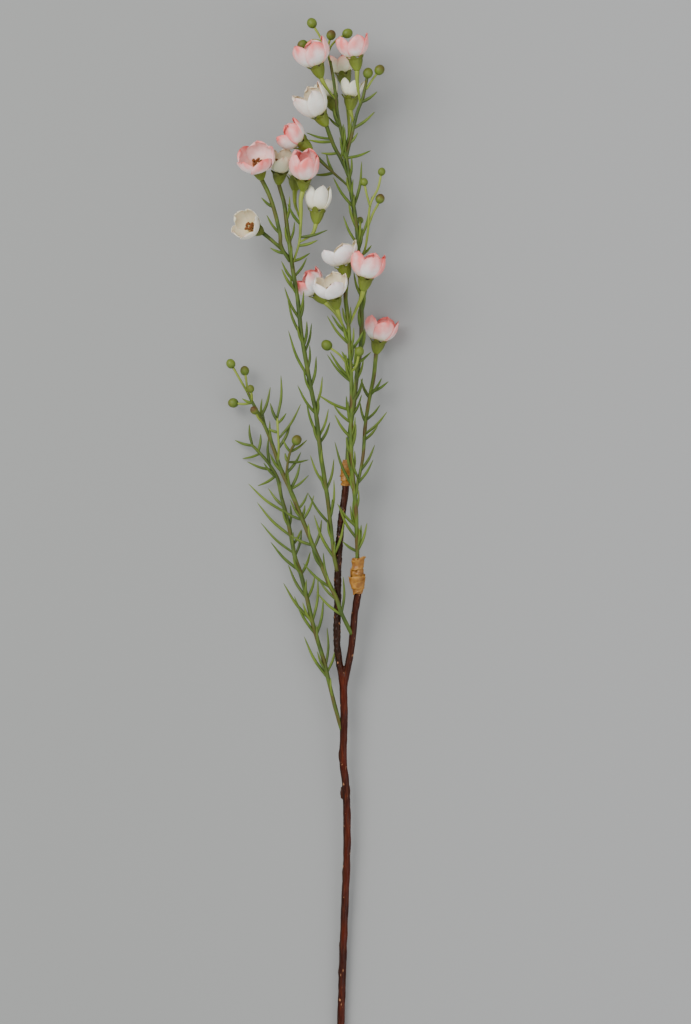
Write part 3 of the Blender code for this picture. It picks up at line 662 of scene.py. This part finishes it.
def speckle(tree, scale, detail, stretch=(1, 1, 1)):
    """A noise in the model's own space, finer across than along where it is stretched."""
    place = add_node(tree, "ShaderNodeTexCoord").outputs["Object"]
    scaled = add_node(tree, "ShaderNodeMapping", {"Vector": place, "Scale": stretch})
    made = add_node(
        tree,
        "ShaderNodeTexNoise",
        {"Vector": scaled.outputs["Vector"], "Scale": scale, "Detail": detail},
    )
    return made.outputs["Fac"]


def tones(tree):
    """The three numbers that each point carries, as sockets."""
    held = add_node(tree, "ShaderNodeAttribute", attribute_name="tone")
    parts = add_node(tree, "ShaderNodeSeparateColor", {"Color": held.outputs["Color"]})
    return [parts.outputs[key] for key in ("Red", "Green", "Blue")]


def finish(tree, shader, colour, rough, roughness):
    """Gives a shader its colour, and a roughness between two values by a noise."""
    tree.links.new(colour, shader.inputs["Base Color"])
    tree.links.new(ramp(tree, rough, 0.3, 0.7, *roughness), shader.inputs["Roughness"])


def roughen(tree, shader, height, strength, distance):
    """A bump from a noise, with its height in metres."""
    bump = add_node(
        tree, "ShaderNodeBump", {"Height": height, "Strength": strength, "Distance": distance}
    )
    tree.links.new(bump.outputs["Normal"], shader.inputs["Normal"])


def soften(shader, weight, radius):
    """Lets light into a thin piece, by these depths in metres for red, green and blue."""
    shader.inputs["Subsurface Weight"].default_value = weight
    shader.inputs["Subsurface Radius"].default_value = radius


def bark_material():
    """Glossy red-brown bark: red marks the dark fork, green the knots, blue the shaded side."""
    material, tree, shader = node_tree("bark")
    grain = speckle(tree, 900, 4, (1, 0.12, 1))
    broad = speckle(tree, 90, 3, (1, 0.4, 1))
    fleck = ramp(tree, speckle(tree, 520, 2, (1, 0.5, 1)), 0.66, 0.72)
    fork, knot, shaded = tones(tree)
    colour = mix(tree, ramp(tree, broad, 0.35, 0.65), BARK_RED, BARK_DEEP)
    # Light streaks along the grain: a painted highlight.
    grain_highlight = ramp(tree, grain, 0.5, 0.78, 0, 0.45)
    colour = coated(
        tree, colour, (fork, BARK_FORK), (grain_highlight, BARK_GRAIN_HIGHLIGHT), (shaded, BARK_SHADE),
        (fleck, BARK_FLECK), (knot, BARK_KNOT),
    )
    finish(tree, shader, colour, grain, (0.20, 0.38))
    roughen(tree, shader, grain, 0.55, 0.0004)
    shader.inputs["Specular IOR Level"].default_value = 0.16
    return material


def tape_material():
    """Ochre crinkled tape with a waxy sheen: red is painted shade in its folds and creases, green a
    painted highlight on its thin edges.
    """
    material, tree, shader = node_tree("tape")
    fine = speckle(tree, 700, 4)
    crease = speckle(tree, 300, 3, (1, 0.5, 1))
    crease_shade, edge, _ = tones(tree)
    colour = mix(tree, ramp(tree, crease, 0.35, 0.65), TAPE_DEEP, TAPE_OCHRE)
    colour = coated(tree, colour, (crease_shade, TAPE_CREASE_SHADE), (edge, TAPE_EDGE_HIGHLIGHT))
    finish(tree, shader, colour, fine, (0.36, 0.6))
    roughen(tree, shader, fine, 0.4, 0.0003)
    soften(shader, 0.15, (0.002, 0.001, 0.0004))
    return material


def leaf_material():
    """Olive green: red lightens it, green turns it brown and blue darkens it."""
    material, tree, shader = node_tree("leaf")
    patch = speckle(tree, 130, 3)
    grain = speckle(tree, 1500, 3, (1, 0.3, 1))
    light, brown, dark = tones(tree)
    colour = mix(tree, ramp(tree, patch, 0.3, 0.7), LEAF_GREEN, LEAF_DEEP)
    coats = (light, LEAF_LIGHT), (dark, LEAF_DARK), (brown, LEAF_BROWN)
    colour = coated(tree, colour, *coats)
    finish(tree, shader, colour, patch, (0.42, 0.58))
    roughen(tree, shader, grain, 0.25, 0.0002)
    soften(shader, 0.08, (0.001, 0.0015, 0.0004))
    shader.inputs["Specular IOR Level"].default_value = 0.35
    return material


def petal_material():
    """Off-white silk with patches of painted shade: red runs from foot to tip, green is how pink it
    is, blue how translucent.
    """
    material, tree, shader = node_tree("petal")
    shade_and_blush_noise = speckle(tree, 200, 3)
    vein = speckle(tree, 900, 3)
    reach, pink, clear = tones(tree)
    foot = ramp(tree, reach, 0.05, 0.50, 0.95, 0.0)
    patchy = ramp(tree, shade_and_blush_noise, 0.25, 0.6, 0.72, 1.0)
    blush = add_node(tree, "ShaderNodeMath", {0: pink, 1: patchy}, operation="MULTIPLY")
    # Patches of painted shade over the white, by the noise.
    colour = mix(tree, ramp(tree, shade_and_blush_noise, 0.35, 0.65), PETAL_WHITE, PETAL_PAINTED_SHADE)
    coats = (clear, PETAL_CLEAR), (foot, PETAL_FOOT), (blush.outputs[0], PETAL_PINK)
    colour = coated(tree, colour, *coats)
    finish(tree, shader, colour, shade_and_blush_noise, (0.5, 0.68))
    roughen(tree, shader, vein, 0.2, 0.0002)
    soften(shader, 0.2, (0.003, 0.0018, 0.0015))
    return material


def centre_material():
    """Orange-brown anthers and disc: red makes it cream, green makes it dark."""
    material, tree, shader = node_tree("flower centre")
    patch = speckle(tree, 700, 3)
    cream, dark, _ = tones(tree)
    colour = mix(tree, ramp(tree, patch, 0.3, 0.7), ANTHER_ORANGE, ANTHER_BROWN)
    colour = coated(tree, colour, (cream, CENTRE_CREAM), (dark, CENTRE_DARK))
    finish(tree, shader, colour, patch, (0.45, 0.7))
    roughen(tree, shader, patch, 0.3, 0.0002)
    return material


def stem_radii(spray, name):
    """A stem's radius from foot to tip: thin under a bud, and swelling under a flower."""
    wide = THIN_STEMS.get(name, TWIG_RADIUS if name == "twig" else STALK_RADIUS)
    radii = [wide * part for part in STEM_TAPER]
    if any(flower[:2] == (spray, name) for flower in FLOWERS.values()):
        radii[-1] = (radii[-1] + BLOOM_RADIUS) / 2
        return [*radii, BLOOM_RADIUS]
    return [*radii, max(STALK_RADIUS, min(wide, TIP_RADIUS))]


def add_stem(shape, spray, name, points, draw):
    """A green stem, dark and brown in places, or a lighter stalk, with a swelling at each end."""
    curve = along(points, STEM_STEP)
    count = len(curve)
    stalk = name not in THIN_STEMS and name != "twig"
    radii = spread(stem_radii(spray, name), count) * (1.0 if stalk else STEM_SLIM)
    phase = draw.uniform(0, 100)

    def ripple(t, turn):
        place = Vector((math.cos(turn), math.sin(turn), phase + t * count / 5))
        return 1 + STEM_RIPPLE * noise.noise(place)

    ring, faces, places = sweep(curve, radii, 12 if name == "main" else 8, ripple=ripple)
    length = places[:, 0]
    light = (0.25 + 0.45 * length) if stalk else 0.10 * length
    shade = np.array([noise.noise(Vector((phase, t * count / 7, k * 2))) for t, k in places])
    deep, bronze = (0.05, 0.1) if stalk else STEM_SHADES[spray]
    brown = smooth_step(-0.05, 0.4, shade) * bronze
    dark = deep + smooth_step(0.0, 0.5, -shade) * 0.35
    shape.add(ring, faces, np.stack([light, brown, dark], axis=1))


def needle_curve(stem, leaf, rise):
    """The line of a leaf from the middle of its stem, bowed down and outwards to its tip."""
    base = point_at(stem, leaf[0])
    lift = leaf[3] if len(leaf) > 3 else rise
    tip = Vector((leaf[1], leaf[2], max(LOWEST_TIP, base.z + lift)))
    reach = tip - base
    side = Vector((reach.y, -reach.x, 0)) * math.copysign(1, reach.x)
    middle = base + reach * 0.5 + side * NEEDLE_BOW
    return along([base, middle, tip], reach.length / NEEDLE_POINTS)


def close_leaves(name, points, kind="close", step=CLOSE_STEP):
    """Leaves that lie close over a main stem, by turns to its right and to its left."""
    draw = random.Random(f"{SEED} {kind} {name}")
    y, last = CLOSE_LEAVES[name]
    side = 1
    found = []
    while y < last:
        base = point_at(points, y)
        ahead = (point_at(points, y + CLOSE_LOOK) - base).normalized()
        turn = math.radians(draw.uniform(*CLOSE_TURN)) * side
        length = draw.uniform(*CLOSE_LENGTH)
        across = ahead.x * math.cos(turn) + ahead.y * math.sin(turn)
        onward = ahead.y * math.cos(turn) - ahead.x * math.sin(turn)
        rise = draw.uniform(*CLOSE_RISE)
        found.append((y, base.x + across * length, base.y + onward * length, rise))
        side = -side
        y += step
    return found


def add_needle(shape, curve, draw):
    """A needle leaf, widest a third of the way up, with soft channels along it."""
    where = np.linspace(0, 1, len(curve))
    width = draw.uniform(*NEEDLE_WIDTHS) * NEEDLE_RADIUS
    radii = width * (0.72 + 0.33 * np.sin(np.pi * np.minimum(1, where * 1.15) ** 0.7))
    radii *= np.sqrt(np.clip(1 - where ** 5, 0.02, 1))

    def channel(_, turn):
        return 1 - NEEDLE_CHANNEL * max(0.0, math.cos(3 * turn)) ** 2

    ring, faces, places = sweep(curve, radii, NEEDLE_SIDES, NEEDLE_FLAT, channel)
    light = draw.uniform(0.0, 0.30)
    deep = draw.uniform(0.0, 0.45)
    length = places[:, 0]
    lit = light * (0.4 + 0.6 * length)
    brown = 0.25 * smooth_step(0.93, 1, length)
    dark = deep + 0.45 * (1 - length) ** 3
    shape.add(ring, faces, np.stack([lit, brown, dark], axis=1))


def add_bud(shape, points, width, draw, red):
    """A round bud with five soft seams, that may blush red towards its top."""
    end = Vector(points[-1])
    axes = basis(end - Vector(points[-2]))
    radius = width / 2
    rows = []
    for i in range(BUD_RINGS + 1):
        top = i / BUD_RINGS
        turn = math.pi * (0.03 + 0.955 * top)
        height = BUD_SEAT * width - math.cos(turn) * radius * BUD_LENGTH
        blush = red * float(smooth_step(0.25, 0.8, top))
        tone = (0.22 * (1 - abs(top - 0.5)), blush, 0.15 + 0.4 * (1 - top) ** 3)
        rows.append((math.sin(turn) * radius, height, tone))
    phase = draw.uniform(0, 6)

    def seam(i, turn):
        near_top = max(0.0, i / BUD_RINGS - 0.4)
        return 1 - 0.30 * near_top * (1 - abs(math.cos(2.5 * (turn + phase)))) ** 2

    local, faces, held = turned(rows, BUD_SIDES, seam)
    shape.add(placed(local, end, axes), faces, held)


def add_calyx(shape, foot, facing, draw):
    """The olive cup under a flower: a round ribbed bowl on a narrow foot, with five sepals."""
    axes = basis(facing)
    origin = foot - axes[2] * CALYX_SINK
    swell = CALYX_RADIUS + CUP_LIP - CALYX_FOOT
    rows = []
    for t in np.linspace(0, 1, 14):
        radius = CALYX_FOOT + swell * math.sin(t * math.pi / 2) ** 0.85
        rows.append((radius, t * CALYX_HEIGHT, (0.34 - 0.26 * t, 0.06 + 0.28 * t, 0.0)))
    rows.append((CALYX_RADIUS * 0.6, CALYX_HEIGHT, (0.3, 0.2, 0.1)))
    rows.append((0.2, CALYX_HEIGHT, (0.3, 0.2, 0.1)))

    def rib(i, turn):
        return 1 + CUP_RIB * math.cos(CUP_RIBS * turn) * min(1, i / 4)

    local, faces, held = turned(rows, CUP_SIDES, rib)
    shape.add(placed(local, origin, axes), faces, held)
    for k in range(PETALS):
        turn = 2 * math.pi * k / PETALS + draw.uniform(-0.1, 0.1)
        add_sepal(shape, origin, axes, turn, draw)


def add_sepal(shape, origin, axes, turn, draw):
    """One rounded lobe that leans out from the cup's rim, under the petals."""
    long = draw.uniform(*SEPAL_LENGTHS)
    lean = draw.uniform(*SEPAL_LEANS)
    layers = []
    for out in (SEPAL_THICK, -SEPAL_THICK):
        for i in range(SEPAL_ROWS):
            t = i / (SEPAL_ROWS - 1)
            half = SEPAL_HALF * math.sqrt(max(0.02, 1 - t ** 2.2))
            radius = CALYX_RADIUS * 0.92 + lean * t + out * (1 - 0.6 * t)
            height = CALYX_HEIGHT * 0.82 + long * t - out * t
            for k in range(SEPAL_COLUMNS):
                s = 2 * k / (SEPAL_COLUMNS - 1) - 1
                angle = turn + s * half / radius
                layers.append((math.cos(angle) * radius, math.sin(angle) * radius, height))
    faces = sheet_faces(SEPAL_ROWS, SEPAL_COLUMNS)
    shape.add(placed(layers, origin, axes), faces, (0.14, 0.30, 0.05))


def petal_half(s, widest):
    """Half a petal's breadth at s of the way up: it swells to its shoulder, then rounds off."""
    if s < PETAL_SHOULDER:
        swell = math.sin((s - PETAL_START) / (PETAL_SHOULDER - PETAL_START) * math.pi / 2)
        return widest * (PETAL_NECK + (1 - PETAL_NECK) * swell)
    past = (s - PETAL_SHOULDER) / (1 - PETAL_SHOULDER)
    return widest * math.sqrt(max(0.006, 1 - past ** 2.6))


def petal_pink(s, t, wave, pink, inside):
    """How pink a petal is, up and across it: most at its rim, and all over inside."""
    rim = max(s, 0.88 * abs(t) * (0.5 + 0.5 * s)) + 0.10 * wave
    start = 0.92 - 0.80 * pink
    amount = float(smooth_step(start, start + 0.55, rim)) * min(1, 0.35 + pink)
    amount *= 0.80 + 0.20 * float(smooth_step(0.82, 1.0, rim)) + 0.35 * wave
    return max(amount, 0.8 * pink) if inside else amount


def add_petal(shape, origin, axes, turn, width, depth, look, draw):
    """One broad, spooned petal, with one side tucked under its neighbour."""
    pink, clear, sweep_turn = look
    reach = width / 2
    full = 1 - math.cos(math.radians(sweep_turn))
    widest = PETAL_WIDTH * reach * draw.uniform(0.94, 1.06)
    long = draw.uniform(0.93, 1.02)
    lean = draw.uniform(-0.08, 0.08)
    phase = draw.uniform(0, 50)
    cupped = draw.uniform(0.5, 1.1)
    own_pink = min(1.0, pink * draw.uniform(0.7, 1.25))
    layers, held = [], []
    for out in (PETAL_THICK, -PETAL_THICK):
        inside = out < 0
        cream = max(clear, 0.95) if inside and pink < 0.3 else clear
        for i in range(PETAL_ROWS):
            s = PETAL_START + (1 - PETAL_START) * i / (PETAL_ROWS - 1)
            arc = math.radians(sweep_turn) * s * long
            middle = CUP_HOLE + (reach - CUP_HOLE) * math.sin(arc) * (1 + 0.03 * cupped)
            rise = depth * (1 - math.cos(arc)) / full
            half = petal_half(s, widest)
            for k in range(PETAL_COLUMNS):
                t = 2 * k / (PETAL_COLUMNS - 1) - 1
                wave = noise.noise(Vector((phase, s * 2.4, t * 1.8)))
                ruffle = noise.noise(Vector((phase + 9, s * 6, t * 5)))
                ruffle *= s * s + 0.5 * abs(t) * s
                radius = middle - 0.42 * t * s * 1.6 - 0.5 * cupped * s * t ** 4
                radius += s * wave + 0.22 * ruffle + out * (1 - 0.3 * s)
                height = rise + 0.5 * s * wave + 0.15 * ruffle - out * (1 - s) + PETAL_SEAT
                height -= 0.10 * depth * s * t ** 4
                angle = turn + lean + t * half / max(middle, 1.6)
                layers.append((math.cos(angle) * radius, math.sin(angle) * radius, height))
                held.append((s, petal_pink(s, t, wave, own_pink, inside), cream))
    faces = sheet_faces(PETAL_ROWS, PETAL_COLUMNS)
    shape.add(placed(layers, origin, axes), faces, held)


def add_stamen(shape, origin, axes, turn, depth, draw):
    """A thin stalk that leans out and back in, with a brown anther at its end."""
    out = Vector((math.cos(turn), math.sin(turn), 0))
    height = depth * draw.uniform(*STAMEN_HEIGHTS)
    tip = out * draw.uniform(*STAMEN_REACHES) + Vector((0, 0, height))
    line = [out * 2.0 + Vector((0, 0, 1.2)), out * 3.0 + Vector((0, 0, 0.6 * height)), tip]
    line = along(line, 0.5)
    ring, faces, _ = sweep(line, [STAMEN_RADIUS] * len(line), 6)
    shape.add(placed(ring, origin, axes), faces, (0.3, 0.1, 0))
    local, faces, held = turned(ANTHER, 8)
    shape.add(placed(np.array(local) + np.array(line[-1]), origin, axes), faces, held)


def add_centre(shape, origin, axes, depth, draw):
    """A domed disc, a ring of short stamens with brown anthers, and one style."""
    local, faces, held = turned(DISC, 24)
    shape.add(placed(local, origin, axes), faces, held)
    for k in range(STAMENS):
        turn = 2 * math.pi * (k + draw.uniform(-0.2, 0.2)) / STAMENS
        add_stamen(shape, origin, axes, turn, depth, draw)
    style = along(STYLE, 0.6)
    ring, faces, _ = sweep(style, spread(STYLE_RADII, len(style)), 8)
    shape.add(placed(ring, origin, axes), faces, (0.25, 0.25, 0))


def make_spray(name, leaf):
    """A spray's stems, leaves, buds and cups, each as one piece."""
    stems, leaves, buds, (least, most) = SPRAYS[name]
    draw = random.Random(f"{SEED} {name}")
    own = random.Random(f"fine {name}")
    blushes = BUD_BLUSH.get(name, {})
    stalks, blades, knobs, cups = Shape(), Shape(), Shape(), Shape()
    for stem, points in stems.items():
        add_stem(stalks, name, stem, points, own)
        for blade in leaves.get(stem, ()):
            add_needle(blades, needle_curve(points, blade, draw.uniform(least, most)), own)
        if stem in buds:
            add_bud(knobs, points, buds[stem], own, blushes.get(stem, LEAST_BLUSH))
    close = close_leaves(name, stems["main"])
    if name in FINE_STEPS:
        close += close_leaves(name, stems["main"], "fine", FINE_STEPS[name])
    for blade in close:
        add_needle(blades, needle_curve(stems["main"], blade, 0), own)
    for spray, stem, facing, _, _ in FLOWERS.values():
        if spray == name:
            add_calyx(cups, Vector(stems[stem][-1]), facing, own)
    for part, shape in (("stalks", stalks), ("needles", blades), ("buds", knobs), ("cups", cups)):
        if shape.count:
            shape.make(f"{name}_{part}", leaf, "leaf", name)


def make_flower(name, look, petal, heart):
    """A flower's ring of petals and what stands in its middle, each as one piece."""
    spray, stem, facing, width, depth = FLOWERS[name]
    draw = random.Random(f"flower {name}")
    axes = basis(facing)
    foot = Vector(SPRAYS[spray][0][stem][-1])
    origin = foot + axes[2] * (CALYX_HEIGHT - CALYX_SINK + 0.2)
    petals, centre = Shape(), Shape()
    for k in range(PETALS):
        turn = 2 * math.pi * (k + 0.5) / PETALS
        add_petal(petals, origin, axes, turn, width, depth, look, draw)
    add_centre(centre, origin, axes, depth, draw)
    petals.make(f"{name}_corolla", petal, "petal", f"{name}_petals")
    centre.make(f"{name}_heart", heart, "flower_centre", f"{name}_centre")


def bark_skin(material):
    """The stem, its forks and knots as one object, and their joined skin."""
    shape = Shape()
    routes = ((MAIN_STEM, STEM_RADIUS), (LEFT_FORK, FORK_RADIUS), (RIGHT_FORK, FORK_RADIUS))
    for route, radius in routes:
        curve = along(route, 3.0)
        ring, faces, _ = sweep(curve, [radius - SKIN_INSET] * len(curve), SKIN_SIDES)
        shape.add(ring, faces, (0, 0, 0))
    for x, y, z in NODE_BUMPS:
        knot = along([(x, y - KNOT_HALF, z), (x, y, z), (x, y + KNOT_HALF, z)], 1)
        radii = KNOT_RADIUS * np.sin(np.linspace(0.25, np.pi - 0.25, len(knot)))
        ring, faces, _ = sweep(knot, radii, 12)
        shape.add(ring, faces, (0, 0, 0))
    made = shape.make("bark", material, "bark", "brown_stem")
    join = made.modifiers.new("skin", "REMESH")
    join.mode = "VOXEL"
    join.voxel_size = SKIN_CELL * MM
    bpy.context.view_layer.update()
    graph = bpy.context.evaluated_depsgraph_get()
    skin = bpy.data.meshes.new_from_object(made.evaluated_get(graph))
    made.modifiers.clear()
    return made, skin


def noise_at(points, across, along_stem, shift=0.0):
    """A noise at each point, this fine across and along the stem."""
    return np.array([
        noise.noise(Vector((x * across, y * along_stem, z * across + shift)))
        for x, y, z in points
    ])


def make_bark(material):
    """The forked stem with its grain and knots, and small teeth on its left fork."""
    made, skin = bark_skin(material)
    points = np.empty(len(skin.vertices) * 3)
    normals = np.empty(len(skin.vertices) * 3)
    skin.vertices.foreach_get("co", points)
    skin.vertex_normals.foreach_get("vector", normals)
    points, normals = points.reshape(-1, 3) / MM, normals.reshape(-1, 3)
    grain = noise_at(points, 1.1, 0.16)
    lumps = noise_at(points, 0.35, 0.12)
    teeth = noise_at(points, 0.9, 0.75, 40)
    teeth *= smooth_step(FORK_START, -70, points[:, 1]) * smooth_step(*LEFT_OF, points[:, 0])
    away = GRAIN_HIGH * grain + LUMP_HIGH * lumps + TEETH_HIGH * teeth
    points += normals * away[:, None]
    points[:, 2] = np.maximum(points[:, 2], 0)
    skin.vertices.foreach_set("co", (points * MM).ravel())
    on_fork = smooth_step(FORK_START, -66, points[:, 1])
    leftward = smooth_step(*LEFT_OF, points[:, 0])
    offsets = (points[:, None, :] - np.array(NODE_BUMPS, float)) / (1, 1.4, 1)
    near = np.min(np.linalg.norm(offsets, axis=2), axis=1)
    fork = on_fork * (0.55 + 0.4 * leftward)
    knot = 0.4 * smooth_step(3.2, 1.2, near) + 0.3 * smooth_step(0.1, 0.4, -grain)
    shaded = smooth_step(0.25, 0.9, -normals[:, 0]) * 0.75
    set_tones(skin, np.stack([fork, knot, shaded], axis=1))
    skin.materials.clear()
    skin.materials.append(material)
    skin.shade_smooth()
    made.data = skin


def make_wrap(name, route, radius, outline, strips, material):
    """Wound, crinkled tape: an uneven body with loose strips over it that lift at their ends."""
    curve = along(route, WRAP_STEP)
    widths = spread(outline, len(curve)) * radius

    def wound(t, turn):
        lap = (t * WRAP_LAPS + turn / (2 * math.pi)) % 1
        place = Vector((math.cos(turn) * 1.5, math.sin(turn) * 1.5, t * 7 + radius))
        fine = Vector((math.cos(turn) * 5, math.sin(turn) * 5, t * 22))
        creased = WRAP_CREASE * noise.noise(place) + WRAP_CRINKLE * noise.noise(fine)
        return 0.95 + 0.05 * lap + creased

    shape = Shape()
    ring, faces, places = sweep(curve, widths, WRAP_SIDES, ripple=wound)
    lap = (places[:, 0] * WRAP_LAPS + places[:, 1]) % 1
    # Painted shade beside the step at each lap's edge, where the layer above stands over it.
    crease_shade = 0.75 * smooth_step(0.22, 0.0, lap)
    shape.add(ring, faces, np.stack([crease_shade, crease_shade * 0, crease_shade * 0], axis=1))
    first, last = Vector(route[0]), Vector(route[-1])
    for strip in strips:
        add_strip(shape, first, last - first, radius, outline, strip)
    shape.make(f"tape_{name}", material, "tape", f"wrap_{name}")


def add_strip(shape, foot, way, radius, outline, strip):
    """One loose strip of tape, thin at its torn edges."""
    start, turn, turns, climb, half, lift = strip
    places = np.linspace(0, 1, len(outline))
    layers, held = [], []
    for out in (STRIP_THICK, -STRIP_THICK):
        for i in range(STRIP_ROWS):
            u = i / (STRIP_ROWS - 1)
            angle = turn + u * turns * 2 * math.pi
            curl = lift * max(0.0, u - STRIP_LIFTS) ** 1.5 * 8
            for k in range(STRIP_COLUMNS):
                v = 2 * k / (STRIP_COLUMNS - 1) - 1
                torn = 1 + 0.35 * noise.noise(Vector((angle * 2.2, v * 2, start * 9)))
                crease = noise.noise(Vector((angle * 1.7, v * 1.5, 5 + start * 7)))
                high = (start + climb * u) * way.length + v * half * torn
                base = radius * float(np.interp(high / way.length, places, outline))
                away = 0.25 + 0.55 * crease + curl * (0.6 + 0.4 * v) + 0.35 * abs(v) ** 3
                reach = base + away + out
                layers.append((math.cos(angle) * reach, math.sin(angle) * reach, high))
                # A painted highlight along the strip's thin edges.
                edge = float(smooth_step(0.6, 1, abs(v))) * 0.7
                # Red is painted shade in the hollows of the creases.
                held.append((0.7 * max(0.0, -crease), edge, 0))
    faces = sheet_faces(STRIP_ROWS, STRIP_COLUMNS)
    shape.add(placed(layers, foot, basis(way)), faces, held)


def make_floor():
    """A plain pale floor with painted shade on its left, a little lighter towards the right."""
    bpy.ops.mesh.primitive_plane_add(size=FLOOR_SIDE, location=(0, 0, 0))
    floor = bpy.context.object
    floor.name = "floor"
    material, tree, shader = node_tree("floor")
    place = add_node(tree, "ShaderNodeTexCoord").outputs["Object"]
    across = add_node(tree, "ShaderNodeSeparateXYZ", {"Vector": place}).outputs["X"]
    colour = mix(tree, ramp(tree, across, -0.2, 0.28), FLOOR_SHADED_LEFT, FLOOR_LIT_RIGHT)
    tree.links.new(colour, shader.inputs["Base Color"])
    shader.inputs["Roughness"].default_value = 0.9
    shader.inputs["Specular IOR Level"].default_value = 0.1
    floor.data.materials.append(material)


def add_lamp(name, place, size, power):
    """A soft round lamp aimed at the middle."""
    data = bpy.data.lights.new(name, "AREA")
    data.shape = "DISK"
    data.size = size
    data.energy = power
    lamp = bpy.data.objects.new(name, data)
    lamp.location = place
    lamp.rotation_euler = (-Vector(place)).to_track_quat("-Z", "Y").to_euler()
    bpy.context.scene.collection.objects.link(lamp)


def make_light():
    world = bpy.data.worlds.new("studio")
    world.use_nodes = True
    sky = world.node_tree.nodes["Background"]
    sky.inputs["Color"].default_value = SKY
    sky.inputs["Strength"].default_value = SKY_STRENGTH
    bpy.context.scene.world = world
    for name, lamp in LAMPS.items():
        add_lamp(name, *lamp)


def make_camera():
    data = bpy.data.cameras.new("camera")
    data.sensor_width = SENSOR
    data.lens = SENSOR * (CAMERA_HEIGHT - VIEW_LEVEL) / VIEW_LENGTH
    data.clip_start = CAMERA_NEAR
    data.clip_end = CAMERA_FAR
    camera = bpy.data.objects.new("camera", data)
    camera.location = (VIEW_MIDDLE[0] * MM, VIEW_MIDDLE[1] * MM, CAMERA_HEIGHT * MM)
    bpy.context.scene.collection.objects.link(camera)
    bpy.context.scene.camera = camera


def build():
    make_bark(bark_material())
    tape, leaf, petal, heart = tape_material(), leaf_material(), petal_material(), centre_material()
    for name, wrap in WRAPS.items():
        make_wrap(name, *wrap, tape)
    for name in SPRAYS:
        make_spray(name, leaf)
    for name, look in zip(FLOWERS, FLOWER_LOOKS):
        make_flower(name, look, petal, heart)
    make_floor()
    make_light()
    make_camera()


build()
